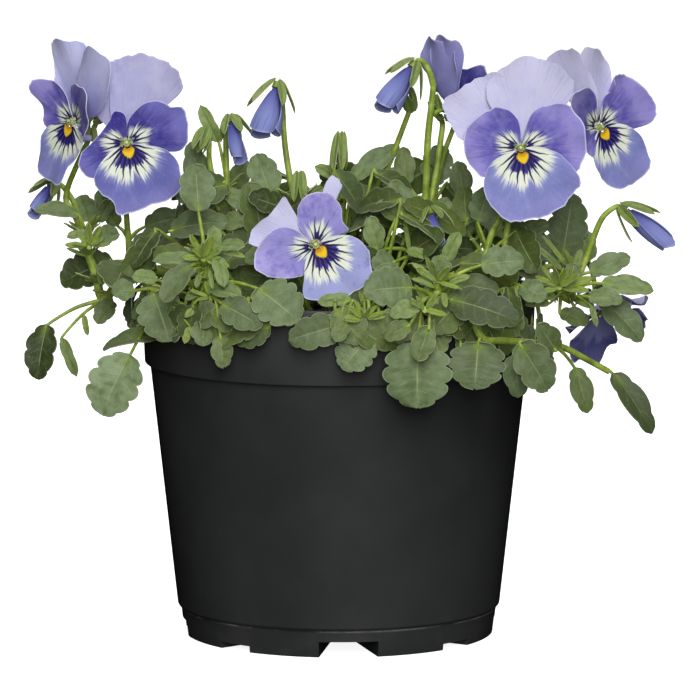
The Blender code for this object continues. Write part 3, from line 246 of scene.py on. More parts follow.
def finish_of(name, **constants):
    """A new material: its shader's fixed sockets are set, and a signal to start its nodes from."""
    material = bpy.data.materials.new(name)
    material.use_nodes = True
    shader = material.node_tree.nodes["Principled BSDF"]
    for socket, value in constants.items():
        shader.inputs[socket.replace("_", " ")].default_value = value
    material.diffuse_color = (0.3, 0.3, 0.3, 1)
    return material, shader, Signal(material.node_tree, shader.outputs[0])


def feed(shader, socket, signal):
    """Runs a signal into one of a finish's sockets."""
    signal.tree.links.new(signal.socket, shader.inputs[socket])


def relief(shader, height, strength, distance):
    """Raises a finish's surface by a height signal, through a bump."""
    sockets = {"Strength": strength, "Distance": distance, "Height": height}
    feed(shader, "Normal", height.node("ShaderNodeBump", {}, sockets))


def make_piece(name, bm, finishes, replaced):
    """Ends a piece: scaled to metres, kept in the CAD's box, with its shading, finishes and slot."""
    bmesh.ops.scale(bm, vec=(MM, MM, MM), verts=bm.verts)
    for vert in bm.verts:
        vert.co = [min(max(place, low), high) for place, low, high in zip(vert.co, *cad_box)]
    mesh = bpy.data.meshes.new(name)
    bm.to_mesh(mesh)
    bm.free()
    mesh.shade_smooth()
    mesh.set_sharp_from_angle(angle=math.radians(SHARP_FROM))
    for finish in finishes:
        mesh.materials.append(finish)
    piece = bpy.data.objects.new(name, mesh)
    bpy.context.scene.collection.objects.link(piece)
    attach(piece, "root")
    if replaced:
        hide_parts(*replaced)


def turned(profile, steps):
    """A closed shape spun about the pot's axis from points (radius, height)."""
    bm = bmesh.new()
    points = [bm.verts.new((radius, 0, height)) for radius, height in profile]
    edges = [bm.edges.new(pair) for pair in zip(points, points[1:])]
    bmesh.ops.spin(
        bm,
        geom=points + edges,
        cent=(0, 0, 0),
        axis=(0, 0, 1),
        angle=2 * math.pi,
        steps=steps,
        use_merge=True,
    )
    bmesh.ops.remove_doubles(bm, verts=bm.verts, dist=0.001)
    bmesh.ops.recalc_face_normals(bm, faces=bm.faces)
    return bm


def rounded(profile, radius, count=3):
    """The profile with each inner corner replaced by a small arc of the given radius."""
    made = [profile[0]]
    for before, corner, after in zip(profile, profile[1:], profile[2:]):
        corner = Vector(corner)
        back = Vector(before) - corner
        ahead = Vector(after) - corner
        reach = min(radius, 0.45 * back.length, 0.45 * ahead.length)
        start = corner + back.normalized() * reach
        end = corner + ahead.normalized() * reach
        for index in range(count + 1):
            t = index / count
            made.append(tuple(start.lerp(corner, t).lerp(corner.lerp(end, t), t)))
    made.append(profile[-1])
    return made


def as_object(name, bm):
    """An object that holds the mesh, for a cut."""
    mesh = bpy.data.meshes.new(name)
    bm.to_mesh(mesh)
    bm.free()
    made = bpy.data.objects.new(name, mesh)
    bpy.context.scene.collection.objects.link(made)
    return made


def cut(body, cutters):
    """Cuts the cutters from the body, in millimetres, and gives the result as a bmesh."""
    for number, cutter in enumerate(cutters):
        modifier = body.modifiers.new("cut_%d" % number, "BOOLEAN")
        modifier.operation = "DIFFERENCE"
        modifier.object = cutter
        modifier.solver = "EXACT"
    bpy.context.view_layer.update()
    graph = bpy.context.evaluated_depsgraph_get()
    mesh = bpy.data.meshes.new_from_object(body.evaluated_get(graph))
    for used in (body, *cutters):
        bpy.data.objects.remove(used)
    bm = bmesh.new()
    bm.from_mesh(mesh)
    return bm


def notch_cutter(turn, sizes, grow):
    """The channel under the pot at one notch, narrower inward."""
    wide, narrow, height = sizes
    reach = RING_RADIUS + NOTCH_REACH
    bm = bmesh.new()
    bmesh.ops.create_cube(bm, size=1)
    for vert in bm.verts:
        outside = vert.co.y < 0
        half = (wide * reach / RING_RADIUS if outside else narrow) / 2 + grow
        vert.co.x = math.copysign(half, vert.co.x)
        vert.co.y = -reach if outside else grow - NOTCH_END
        vert.co.z = height + grow if vert.co.z > 0 else -NOTCH_REACH
    spin = Matrix.Rotation(math.radians(turn), 3, "Z")
    bmesh.ops.rotate(bm, verts=bm.verts, cent=(0, 0, 0), matrix=spin)
    return as_object("notch", bm)


def notches(grow):
    """Cutters for the four wide and four narrow notches, this much larger than the notches."""
    made = []
    for index in range(4):
        turn = NOTCH_TURN + 90 * index
        made.append(notch_cutter(turn, NOTCH_WIDE, grow))
        made.append(notch_cutter(turn + 45, NOTCH_NARROW, grow))
    return made


def drain_cutter(turn):
    """A round rod through the bottom at one drain hole."""
    bm = bmesh.new()
    bmesh.ops.create_cone(
        bm, cap_ends=True, segments=24, radius1=DRAIN_RADIUS, radius2=DRAIN_RADIUS, depth=DRAIN_HIGH
    )
    place = Vector((math.sin(turn), -math.cos(turn), 0)) * DRAIN_OUT + UP * (DRAIN_HIGH / 2)
    bmesh.ops.translate(bm, vec=place, verts=bm.verts)
    return as_object("drain", bm)


outside = [
    (0, RIM_TOP),
    (RIM_TOP_RADIUS - WALL, RIM_TOP),
    (RIM_TOP_RADIUS, RIM_TOP),
    (RIM_FOOT_RADIUS, RIM_FOOT),
    (BODY_TOP_RADIUS, RIM_FOOT),
    (BODY_FOOT_RADIUS, SHOULDER),
    (BODY_FOOT_RADIUS - SHOULDER_DROP, SHOULDER - SHOULDER_DROP),
    (RING_RADIUS + RING_LIP, RING_TOP),
    (RING_RADIUS, 0),
    (0, 0),
]
inside = [
    (0, RIM_TOP + 2 * WALL),
    (RIM_TOP_RADIUS - WALL, RIM_TOP + 2 * WALL),
    (RIM_FOOT_RADIUS - WALL, RIM_FOOT + LEDGE_IN),
    (BODY_TOP_RADIUS - WALL, RIM_FOOT + LEDGE_OUT),
    (BODY_FOOT_RADIUS - WALL, SHOULDER),
    (RING_RADIUS - WALL, RING_TOP),
    (RING_RADIUS - 2 * WALL, WALL),
    (0, WALL),
]
body = as_object("pot_outside", turned(rounded(outside, EDGE_ROUND), POT_STEPS))
hollow = as_object("pot_inside", turned(inside, POT_STEPS))
hollow = as_object("pot_inside", cut(hollow, notches(WALL)))
drains = [drain_cutter(math.radians(NOTCH_TURN + 90 * index)) for index in range(4)]
pot_mesh = cut(body, [hollow, *notches(0), *drains])
bmesh.ops.remove_doubles(pot_mesh, verts=pot_mesh.verts, dist=0.002)

pot_plastic, shader, start = finish_of("satin_black_plastic", Specular_IOR_Level=0.4)
place = start.object_place()
x, y, z = place.split()
cloud = start.noise(place, 22, 4)
streak = start.noise((x * 9, y * 9, z), 28)
# Painted highlight and wear: a light grey band along the shoulder's edge, broken up by noise, stands in for
# a glint of light there; the band is also a little rougher, as wear.
edge = 1 - (abs(z - (SHOULDER - SHOULDER_DROP) * MM) / (GLINT_WIDTH * MM)).step(0, 1)
glint_and_wear = edge * start.noise(place, 60, 4, 0.7).step(0.42, 0.62)
dust = (1 - (z / (DUST_HEIGHT * MM)).step(0, 1)) * start.noise(place, 90, 5, 0.7).step(0.45, 0.75)
black = start.coats(
    start.mix("2a2b2b", "333434", cloud.step(0.3, 0.7)),
    ("41413f", dust * 0.45),
    ("7d7d7a", glint_and_wear * 0.8),
)
feed(shader, "Base Color", black)
feed(shader, "Roughness", 0.44 + cloud * 0.1 + glint_and_wear * 0.1)
relief(shader, start.noise(place, 1400, 2, 0.5) * 0.4 + streak * 0.6, 0.12, 0.0002)
make_piece("pot_moulding", pot_mesh, [pot_plastic], ["pot"])


# Soil
# Moist peat compost that fills the pot to a finger's width under the rim, loose and crumbly on top,
# with lighter fibres and a few grains among the dark crumbs. The shoots stand in it.

SOIL_TOP = 85.0
SOIL_FOOT = 6.2
SOIL_LUMP = 0.9
SOIL_RINGS = 34
SOIL_STEPS = 110
CRUMBS = 620
CRUMB_RADII = (0.35, 1.25)
SOIL_FINE = 0.9
SOIL_GAPS = (0.3, 0.8)
SOIL_HIGHEST = 3
SOIL_SEED = 11
SOIL_RADIUS = RIM_FOOT_RADIUS - WALL - SOIL_GAPS[0]


def soil_height(x, y):
    """How high the lumpy soil stands at one place."""
    lumps = math.sin(0.31 * x + 1.3) * math.cos(0.27 * y) + 0.6 * math.sin(0.53 * x - 0.41 * y)
    fine = noise.fractal(Vector((x, y, 0)) * 0.45, 0.8, 2.1, 4)
    return SOIL_TOP + SOIL_LUMP * lumps + SOIL_FINE * fine


rings = [(SOIL_RADIUS * index / SOIL_RINGS, SOIL_TOP) for index in range(SOIL_RINGS + 1)]
wall = [
    (SOIL_RADIUS, RIM_FOOT + LEDGE_IN),
    (BODY_TOP_RADIUS - WALL - SOIL_GAPS[0], RIM_FOOT),
    (BODY_FOOT_RADIUS - WALL - SOIL_GAPS[1], SHOULDER),
    (BODY_FOOT_RADIUS - 2 * WALL - SOIL_GAPS[1], SOIL_FOOT),
    (0, SOIL_FOOT),
]
soil_mesh = turned(rings + wall, SOIL_STEPS)
for vert in soil_mesh.verts:
    if vert.co.z > SOIL_TOP - 1:
        vert.co.z = min(soil_height(vert.co.x, vert.co.y), SOIL_TOP + SOIL_HIGHEST)
draw = random.Random(SOIL_SEED)
for _ in range(CRUMBS):
    out = (SOIL_RADIUS - 1.5) * math.sqrt(draw.random())
    angle = draw.uniform(0, 2 * math.pi)
    spot = Vector((out * math.cos(angle), out * math.sin(angle), 0))
    spot.z = soil_height(spot.x, spot.y)
    size = CRUMB_RADII[0] + (CRUMB_RADII[1] - CRUMB_RADII[0]) * draw.random() ** 2.5
    crumb = bmesh.ops.create_icosphere(soil_mesh, subdivisions=1, radius=size)["verts"]
    for vert in crumb:
        vert.co *= draw.uniform(0.7, 1.15)
        vert.co.z *= 0.75
    bmesh.ops.translate(soil_mesh, vec=spot, verts=crumb)

peat, shader, start = finish_of("peat_compost", Roughness=0.95, Specular_IOR_Level=0.2)
place = start.object_place()
crumb_tone = start.noise(place, 420, 4, 0.65)
fibre_tone = start.noise(place, 1300, 2, 0.5)
brown = start.mix("1d1511", "4a3626", crumb_tone.step(0.35, 0.68))
feed(shader, "Base Color", start.mix(brown, "8c7557", fibre_tone.step(0.66, 0.74) * 0.7))
relief(shader, crumb_tone + fibre_tone * 0.4, 0.7, 0.0008)
make_piece("peat_fill", soil_mesh, [peat], ["soil"])


# Blooms
# Five-petalled spurred flowers of thin velvety petal, each on a hooked stalk: a lip with a yellow eye and
# dark rays on a cream blotch, two rayed side petals, and two pale upper petals that lie behind them.

CLAW = 0.9
WAVE = 0.45
PETAL_HOLLOW = 0.003
PETAL_THICK = 0.2
PETAL_ROWS = 16
PETAL_START = 0.06
OUTLINE_STEPS = 5
FRILL = 0.5
CRUMPLE = 1.8
RIPPLE = 0.035
THROAT_RADIUS = 1.15
THROAT_MOUTH = 0.9
SPUR_FOOT = (-3.0, 1.4)
SPUR_LIFT = 4.6
SPUR_BACK = 1.1
SPUR_TOP = (-4.2, -7.0)
SPUR_RADII = (1.15, 0.75)
THROAT_ENDS = (0.6, 1.7)
KNOB_AT = (2.0, 0.35)
KNOB_ENDS = (0.8, 0.1)
KNOB_RADII = (0.3, 0.42)
BEARD_HAIRS = 46
HAIR_RADII = (0.13, 0.03)
HAIR_LENGTH = 1.2
LIP, SIDE, BEARD, THROAT, SPUR = range(5)
VELVET = dict(Roughness=0.6, Specular_IOR_Level=0.15, Sheen_Weight=0.03, Sheen_Roughness=0.4)
DARK = "33247f"
RAY = "1c1250"
LIP_RAYS = (
    (-64, 8.2, 0.75), (-49, 9.4, 0.85), (-34, 8.8, 0.95), (-20, 10.8, 1.0), (-6, 9.6, 1.05),
    (8, 10.9, 1.0), (21, 9.4, 1.05), (35, 10.6, 0.95), (49, 8.8, 0.85), (65, 7.8, 0.75),
)
SIDE_RAYS = ((-30, 5.6, 0.5), (-14, 7.8, 0.7), (2, 6.6, 0.65), (16, 8.0, 0.65), (31, 5.4, 0.45))

PLAIN_FACE = [
    ("lip", 0, 1.2, [(-4, -2), (-9, -9), (-7, -17), (0, -20), (7, -17), (9, -9), (4, -2)]),
    ("left", 0, 0, [(-1, 3), (-5, 10), (-13, 9), (-16, 1), (-10, -5), (-4, -3)]),
    ("right", 0, 0, [(1, 3), (5, 10), (13, 9), (16, 1), (10, -5), (4, -3)]),
]

BLOOMS = {
    "bloom_1": dict(
        at=(-56.5, -15, 134.5), turn=0, lift=4, pales=(0.05, 0.7), deep=0.15,
        petals=[
            ("lip", 3, 1.2, [(-4.5, -2.5), (-8, -7), (-8, -12), (-3.5, -16), (-2, -19), (5, -17),
                             (13.5, -13.5), (14.5, -7), (11, -2), (4.5, -0.5)]),
            ("right", 2, 0, [(0.5, 2.5), (0.5, 6), (3.5, 10), (7.5, 11.5), (12, 10), (15.5, 9.5),
                             (16.5, 4), (15, -1.5), (10, -2)]),
            ("left", 2, 0, [(0, 2.5), (-0.5, 7.5), (-3.5, 8.5), (-5, 5.5), (-8.5, 1), (-12, -2.5),
                            (-12.5, -7.5), (-8.5, -9.5), (-5, -4.5)]),
            ("upper_front", 0, -1.3, [(-4, 6.5), (-4.5, 13.5), (-4, 21.5), (1.5, 23.5), (6, 23.5),
                                      (12, 20.5), (15, 16), (13.5, 12.5), (8.5, 9)]),
            ("upper_back", 0, -2.4, [(-7.5, 6.5), (-9.5, 11.5), (-9.5, 17), (-7.5, 20.5), (-4, 22),
                                     (-1, 19.5), (0, 13)]),
        ],
    ),
    "bloom_2": dict(
        at=(-71, -8, 139.5), turn=-48, lift=4, pales=(0.75, 1.6), deep=0.75,
        petals=[
            ("lip", 4, 1.2, [(-3, -0.5), (-9, -2), (-11, -8.5), (-10.5, -13.5), (-4.5, -16.5), (0, -16.5),
                             (1.5, -12), (5.5, -8), (6, -3)]),
            ("left", 4, 0, [(-1, 2.5), (-3.5, 8), (-8, 10.5), (-14, 10.5), (-16, 7.5), (-12, 3.5),
                            (-10.5, -2), (-5, -1)]),
            ("right", 22, 0, [(1.5, 3), (2.5, 8.5), (5, 10.5), (11.5, 9), (13, 4), (10.5, -3), (6.5, -2)]),
            ("upper_front", 6, -1.3, [(0.5, 2), (-0.5, 6), (3, 16.5), (10.5, 20.5), (17, 16), (15.5, 9),
                                      (10, 3), (4.5, 1)]),
            ("upper_back", 0, -2.4, [(-6.5, 2), (-10.5, 9), (-11.5, 14), (-13, 20), (-8.5, 21.5),
                                     (-0.5, 21.5), (3.5, 17), (1.5, 9)]),
        ],
    ),
    "bloom_3": dict(
        at=(-6, -41, 110), turn=0, lift=6, pales=(1.3, 1.0), deep=0.0,
        petals=[
            ("lip", 3, 1.2, [(-2.5, -3.5), (-3, -8), (-3, -13.5), (2.5, -14.5), (8, -13.5), (13.5, -10),
                             (14.5, -5.5), (13.5, -0.5), (9.5, 2.5), (4.5, 2.5)]),
            ("right", 2, 0, [(-2.5, 2.5), (-4.5, 5.5), (-4.5, 10.5), (-1.5, 13.5), (3, 14), (6.5, 10.5),
                             (7, 6.5), (8.5, 4), (5, 2.5)]),
            ("left", 2, 0, [(-2.5, 2), (-6.5, 4.5), (-10.5, 4.5), (-14, 1.5), (-16, -3), (-15, -7),
                            (-10.5, -8.5), (-3.5, -8), (-2, -4.5)]),
            ("upper_front", 0, -1.3, [(-4, 5), (-6.5, 10), (-8.5, 13), (-11, 9.5), (-16, 5), (-18, 1),
                                      (-15, -0.5), (-8, -1.5)]),
            ("upper_back", 0, -2.4, [(0.5, 8.5), (2, 14.5), (4, 18), (7, 16), (5, 12), (3.5, 8)]),
        ],
    ),
    "bloom_4": dict(
        at=(48.5, -20, 133.5), turn=0, lift=4, pales=(0.75, 1.0), deep=0.0,
        petals=[
            ("lip", 3, 1.2, [(-3, -1), (-7.5, -3.5), (-10, -8.5), (-8.5, -14), (-4, -19), (2.5, -19),
                             (8.5, -17), (15, -11), (14.5, -6), (10.5, -1.5), (5, 0.5)]),
            ("left", 2, 0, [(0, 3), (-1, 8), (-5, 11), (-9.5, 10), (-14.5, 5.5), (-15, -1), (-11, -7.5),
                            (-6, -5.5)]),
            ("right", 2, 0, [(0.5, 3), (3, 9.5), (8, 12), (12.5, 12), (16.5, 7), (17.5, 0.5), (15, -6),
                             (10.5, -4)]),
            ("upper_front", 0, -1.3, [(-5, 6.5), (-9, 13), (-8.5, 18), (-4, 22), (2, 24.5), (8, 23),
                                      (13.5, 19), (13, 13), (8, 8.5)]),
            ("upper_back", -1, -2.4, [(-9, 1), (-16, 2.5), (-19.5, 7.5), (-20.5, 12.5), (-17, 15.5),
                                      (-11, 19), (-5.5, 20), (-2.5, 15.5)]),
        ],
    ),
    "bloom_5": dict(
        at=(69.7, -5, 137.8), turn=38, lift=2, pales=(0.8, 0.97), deep=0.0,
        petals=[
            ("lip", 4, 1.2, [(-2.5, -3), (-3.5, -8), (-1.5, -13.5), (4.5, -16.5), (12.5, -14.5), (15, -9.5),
                             (13.5, -4), (9, 0), (3.5, 1)]),
            ("right", 4, 0, [(1, 3), (1.5, 8), (5, 10.5), (4.5, 13.5), (8.5, 14), (15, 10), (18.5, 5.5),
                             (17.5, 1), (12, -1), (6.5, 0)]),
            ("left", 20, 0, [(-1.5, 3), (-3.5, 8.5), (-7, 11), (-13.5, 10.5), (-15, 7), (-10.5, 0),
                             (-5.5, -7.5), (-1.5, -3)]),
            ("upper_front", 0, -1.3, [(-1.5, 3.5), (-10, 8), (-17, 13.5), (-18.5, 19), (-12, 21.5), (-5, 20),
                                      (-1, 13.5), (1.5, 6.5)]),
            ("upper_back", 0, -2.4, [(1, 3.5), (-3.5, 10.5), (-5, 17), (-4, 21.5), (1.5, 20.5), (5.5, 17),
                                     (6.5, 12.5), (4.5, 6)]),
        ],
    ),
    "bloom_6": dict(
        at=(31, 3, 145), turn=140, lift=35, scale=0.72, cup=25, pales=(0.0, 0.25), deep=0.3,
        plain=1,
        petals=[
            *PLAIN_FACE,
            ("upper_front", 0, -2.8, [(-4, 3), (-7, 13), (-5, 21), (2, 23), (7, 17), (4, 5)]),
            ("upper_back", 0, -4.2, [(-4, 5), (-6, 14), (0, 21), (8, 22), (12, 15), (8, 5)]),
        ],
    ),
    "bloom_7": dict(
        at=(71, 8, 86.5), turn=25, lift=-55, scale=0.75, cup=22, hooked=True,
        pales=(0.2, 0.6), deep=0.4, plain=1,
        petals=[
            *PLAIN_FACE,
            ("upper_front", 0, -2.4, [(-4, 3), (-9, 12), (-7, 19), (0, 21), (5, 15), (3, 5)]),
            ("upper_back", 0, -3.9, [(-3, 5), (-3, 14), (3, 20), (10, 18), (12, 12), (6, 4)]),
        ],
    ),
}


def facing(turn, lift):
    """The way a flower or a leaf looks: 0, 0 is to the front, turn is to the right and lift is up."""
    a = math.radians(turn)
    e = math.radians(lift)
    return Vector((math.sin(a) * math.cos(e), -math.cos(a) * math.cos(e), math.sin(e)))


def smooth_line(points, steps):
    """A curve through the points, with this many steps between each two."""
    points = [Vector(point) for point in points]
    ends = [2 * points[0] - points[1], *points, 2 * points[-1] - points[-2]]
    line = []
    for a, b, c, d in zip(ends, ends[1:], ends[2:], ends[3:]):
        for step in range(steps):
            t = step / steps
            bend = (c - a) * t + (2 * a - 5 * b + 4 * c - d) * t**2 + (3 * b - a - 3 * c + d) * t**3
            line.append(b + bend * 0.5)
    line.append(points[-1])
    return line


def square_to(way, other):
    """A direction turned the least that brings it square to another one."""
    return (way - other * way.dot(other)).normalized()


def sheet_mesh():
    """An empty mesh whose points can hold a place on a sheet, a tint, and a shift for the back."""
    bm = bmesh.new()
    for name in ("place", "tint", "shift"):
        bm.verts.layers.float_vector.new(name)
    return bm


def grid_sheet(bm, rows, tint, finish):
    """Adds a sheet to the mesh from rows of points, each with its place on the petal or leaf.

    It gives the new faces.
    """
    place_layer = bm.verts.layers.float_vector["place"]
    tint_layer = bm.verts.layers.float_vector["tint"]
    across = len(rows[0])
    segments = {"x_segments": across - 1, "y_segments": len(rows) - 1}
    made = bmesh.ops.create_grid(bm, size=1, **segments)["verts"]
    made.sort(key=lambda vert: (round(vert.co.y, 4), round(vert.co.x, 4)))
    for index, vert in enumerate(made):
        vert.co, vert[place_layer] = rows[index // across][index % across]
        vert[tint_layer] = tint
    faces = list({face for vert in made for face in vert.link_faces})
    for face in faces:
        face.material_index = finish
    return faces


def thicken(bm, faces, thick, look=None, under=0):
    """Gives a sheet its thickness, and the side that looks away from a direction its own finish."""
    shift_layer = bm.verts.layers.float_vector["shift"]
    bmesh.ops.recalc_face_normals(bm, faces=faces)
    bm.normal_update()
    for vert in {vert for face in faces for vert in face.verts}:
        vert[shift_layer] = vert.normal * thick
    made = bmesh.ops.extrude_face_region(bm, geom=faces, use_keep_orig=True)["geom"]
    shell = set(faces)
    for part in made:
        if isinstance(part, bmesh.types.BMVert):
            part.co += part[shift_layer]
            shell |= set(part.link_faces)
    shell = list(shell)
    bmesh.ops.recalc_face_normals(bm, faces=shell)
    if look is None:
        return
    for face in shell:
        face.normal_update()
        if face.normal.dot(look) < 0:
            face.material_index = under


def add_tubes(bm, strands, finish, sides=2):
    """Adds round strands: each is a list of points and the radii at its two ends."""
    data = bpy.data.curves.new("strands", "CURVE")
    data.dimensions = "3D"
    data.bevel_depth = 1
    data.bevel_resolution = sides
    data.use_fill_caps = True
    for points, radii in strands:
        spline = data.splines.new("POLY")
        last = len(points) - 1
        spline.points.add(last)
        for index, point in enumerate(points):
            spline.points[index].co = (*point, 1)
            spline.points[index].radius = radii[0] + (radii[1] - radii[0]) * index / last
    guide = bpy.data.objects.new("strands", data)
    bpy.context.scene.collection.objects.link(guide)
    bpy.context.view_layer.update()
    graph = bpy.context.evaluated_depsgraph_get()
    mesh = bpy.data.meshes.new_from_object(guide.evaluated_get(graph))
    bpy.data.objects.remove(guide)
    before = set(bm.faces)
    bm.from_mesh(mesh)
    for face in bm.faces:
        if face not in before:
            face.material_index = finish


def flower_frame(flower):
    """The directions to a flower's right, to its top and to its front."""
    look = facing(flower["turn"], flower["lift"])
    angle = math.radians(flower["turn"])
    right = Vector((math.cos(angle), math.sin(angle), 0))
    return right, look.cross(right), look


def petal(bm, flower, tilt, layer, outline, tint, finish):
    """A sheet from the throat to the petal's smooth outline, waved towards its edge."""
    right, up, look = flower_frame(flower)
    at = Vector(flower["at"])
    scale = flower.get("scale", 1)
    slope = math.tan(math.radians(tilt + flower.get("cup", 0)))
    claw = [Vector(point).normalized() * CLAW for point in (outline[0], outline[-1])]
    line = []
    for edge in smooth_line([claw[0], *outline, claw[1]], OUTLINE_STEPS):
        ripple = noise.noise(Vector((edge.x * 0.35, edge.y * 0.35, layer + at.x)))
        ripple += 0.6 * noise.noise(Vector((edge.x, edge.y, layer + at.x)))
        line.append(edge * (1 + RIPPLE * ripple * min(edge.length / 12, 1)))
    heart = (claw[0] + claw[1]) / 2
    axis = sum((Vector(point) for point in outline), Vector((0, 0))) / len(outline)
    turn = math.atan2(axis.y, axis.x)
    rows = []
    for index in range(PETAL_ROWS + 1):
        t = PETAL_START + (1 - PETAL_START) * (index / PETAL_ROWS) ** 0.85
        row = []
        for edge in line:
            u, v = heart.lerp(edge, t)
            out = math.hypot(u, v)
            angle = math.atan2(v, u)
            wave = WAVE * math.sin(5 * angle + 3 * layer) * (out / 18) ** 2
            frill = FRILL * t**5 * math.sin(11 * angle + 7 * layer + at.x) * (out / 15)
            frill *= 1 + CRUMPLE * flower.get("plain", 0)
            w = layer + slope * out + PETAL_HOLLOW * out * out + wave + frill
            place = (out * math.cos(angle - turn), out * math.sin(angle - turn), t)
            row.append((at + (right * u + up * v + look * w) * scale, place))
        rows.append(row)
    thicken(bm, grid_sheet(bm, rows, tint, finish), PETAL_THICK)


def petal_signals(start):
    """A petal's place, also as distance from the throat, angle from its axis and share to its edge."""
    place = start.attribute("place")
    x, y, share = place.split()
    out = (x * x + y * y) ** 0.5
    angle = start.math("ARCTAN2", y, x) * (180 / math.pi)
    return place, out, angle, share, start.attribute("tint").split()


def veins(start, angle, out, fine):
    """Streaks that run outward from the throat."""
    return start.noise((angle * fine, out * 0.06, 0.0))


def rays(start, angle, out, plain, table):
    """Coats of dark lines at their angles, widest near the throat and each drawn to a point."""
    made = []
    for at, length, wide in table:
        bend = start.noise((out * 0.3, at, 0.0), 1.0, 2, 0.5) * 8 - 4
        off = abs(angle + bend - at) * (math.pi / 180) * out
        half = (1 - (out / length) ** 1.6) * wide
        line = (1 - (off - half * 0.5).step(-0.12, 0.16)) * (1 - (out / length).step(0.96, 1.0))
        made.append((RAY, line * (1 - plain)))
    return made


lip_finish, shader, start = finish_of("lip_petal", **VELVET)
place, out, angle, share, (pale, plain, chance) = petal_signals(start)
streaks = veins(start, angle, out, 0.42)
cloud = start.noise(place, 0.22)
ragged = start.noise((angle * 0.16, out * 0.12, chance * 9), 1.0, 4, 0.7) - 0.5
notch = 1 - (abs(angle - 2) / 9).step(0, 1)
reach = 10.6 - abs(angle) * 0.03 - notch * 2.4 + ragged * 6.0 + (streaks - 0.5) * 4
blotch = 1 - (out - reach).step(-1.3, 1.2)
cream = start.mix("dde3cf", "edf0e4", streaks.step(0.4, 0.7))
patch = (1 - (out - 6.3 - ragged * 6.5).step(-0.25, 0.25)) * (1 - abs(angle - 2).step(42, 52))
eye_edge = 2.9 + start.noise((angle * 0.35, 0.0, 3.0)) * 2.4 - abs(angle) * 0.04
eye = (1 - (out - eye_edge).step(-0.25, 0.2)) * (1 - abs(angle).step(36, 52)) * (1 - plain)
yellow = start.mix("c98a10", "f0c81c", out.step(1.3, 2.8))
face = start.coats(
    start.mix("5e60a6", "8288c0", pale),
    ("9590c8", (out + cloud * 5).step(14, 22) * 0.5),
    ("4f4c9f", streaks.step(0.48, 0.75) * (0.28 + plain * 0.7)),
    ("c2c6ec", pale - 1),
    ("6e72b8", (1 - cloud.step(0.32, 0.5)) * 0.4 * pale),
    ("2c295c", plain * 0.35),
    ("b4b4e0", start.noise(place, 3.0, 2, 0.7).step(0.52, 0.8) * 0.22),
    ("a0a6d6", cloud.step(0.5, 0.75) * (0.12 + 0.25 * pale)),
    ("a4abd6", (1 - (out - reach).step(-0.2, 3.2)) * 0.4),
    (cream, blotch * (1 - plain)),
    (DARK, patch * out.step(2.2, 3.0) * 0.98 * (1 - plain)),
    *rays(start, angle, out, plain, LIP_RAYS),
    (yellow, eye),
    ("d3d3ec", share.step(0.97, 0.995) * 0.7),
)
feed(shader, "Base Color", face)
relief(shader, streaks * 0.6 + cloud, 0.4, 0.0004)

side_finish, shader, start = finish_of("side_petal", **VELVET)
place, out, angle, share, (pale, plain, chance) = petal_signals(start)
streaks = veins(start, angle, out, 0.4)
cloud = start.noise(place, 0.2)
ragged = start.noise((angle * 0.15, out * 0.12, chance * 9), 1.0, 4, 0.7) - 0.5
spread = (out + angle * 0.05 + ragged * 10 + cloud * 8 - 4).step(7.0, 14.5)
reach = 6.7 - abs(angle) * 0.05 + ragged * 6.5 + (streaks - 0.5) * 3
blotch = (1 - (out - reach).step(-1.2, 1.1)) * (1 - abs(angle).step(34, 62))
patch = (1 - (out - 3.3 - ragged * 4.5).step(-0.25, 0.25)) * (1 - abs(angle).step(18, 28))
face = start.coats(
    start.mix("352f84", "6159ae", pale),
    (start.mix("6a66b0", "9c92d2", pale), spread),
    ("3f3894", streaks.step(0.48, 0.75) * (0.28 + plain * 0.7)),
    ("c6bff0", pale - 1),
    ("6f62bd", (1 - cloud.step(0.32, 0.52)) * 0.5 * pale),
    ("2c295c", plain * 0.35),
    ("a8a4dc", start.noise(place, 3.0, 2, 0.7).step(0.52, 0.8) * 0.22),
    ("a29dd4", cloud.step(0.5, 0.76) * (0.12 + 0.25 * pale)),
    ("dfe4d4", blotch * (1 - plain)),
    (DARK, patch * 0.97 * (1 - plain)),
    *rays(start, angle, out, plain, SIDE_RAYS),
    ("b9c292", (1 - out.step(1.2, 1.9)) * (1 - plain)),
    ("d6d5ee", share.step(0.97, 0.995) * 0.8),
)
feed(shader, "Base Color", face)
relief(shader, streaks * 0.6 + cloud, 0.4, 0.0004)

upper_finish, shader, start = finish_of("upper_petal", **VELVET)
place, out, angle, share, (pale, deep, _) = petal_signals(start)
streaks = veins(start, angle, out, 0.55)
cloud = start.noise(place, 0.16)
lilac = start.coats(
    start.mix("5b5ba6", "cac8e5", pale),
    ("cdcbe4", cloud.step(0.45, 0.7) * pale * 0.5),
    ("d2d4ff", (pale - 1) * 1.4),
    ("8f8cc6", streaks.step(0.5, 0.74) * 0.35),
    ("8e8ac8", (1 - cloud.step(0.34, 0.56)) * 0.12),
    ("e0e0f4", start.noise(place, 2.6, 2, 0.7).step(0.52, 0.8) * 0.2 * pale),
    ("4a4298", deep * (1 - (out + angle * 0.1 + cloud * 4).step(5, 19))),
    ("c9c7e2", share.step(0.97, 0.995) * 0.35),
)
feed(shader, "Base Color", lilac)
relief(shader, streaks + cloud * 0.5, 0.4, 0.0004)


def flecked(name, scale, first, second, **constants):
    """A finish of two close tones in small flecks."""
    finish, shader, start = finish_of(name, **constants)
    fleck = start.noise(start.object_place(), scale, 2, 0.5).step(0.3, 0.7)
    feed(shader, "Base Color", start.mix(first, second, fleck))
    return finish


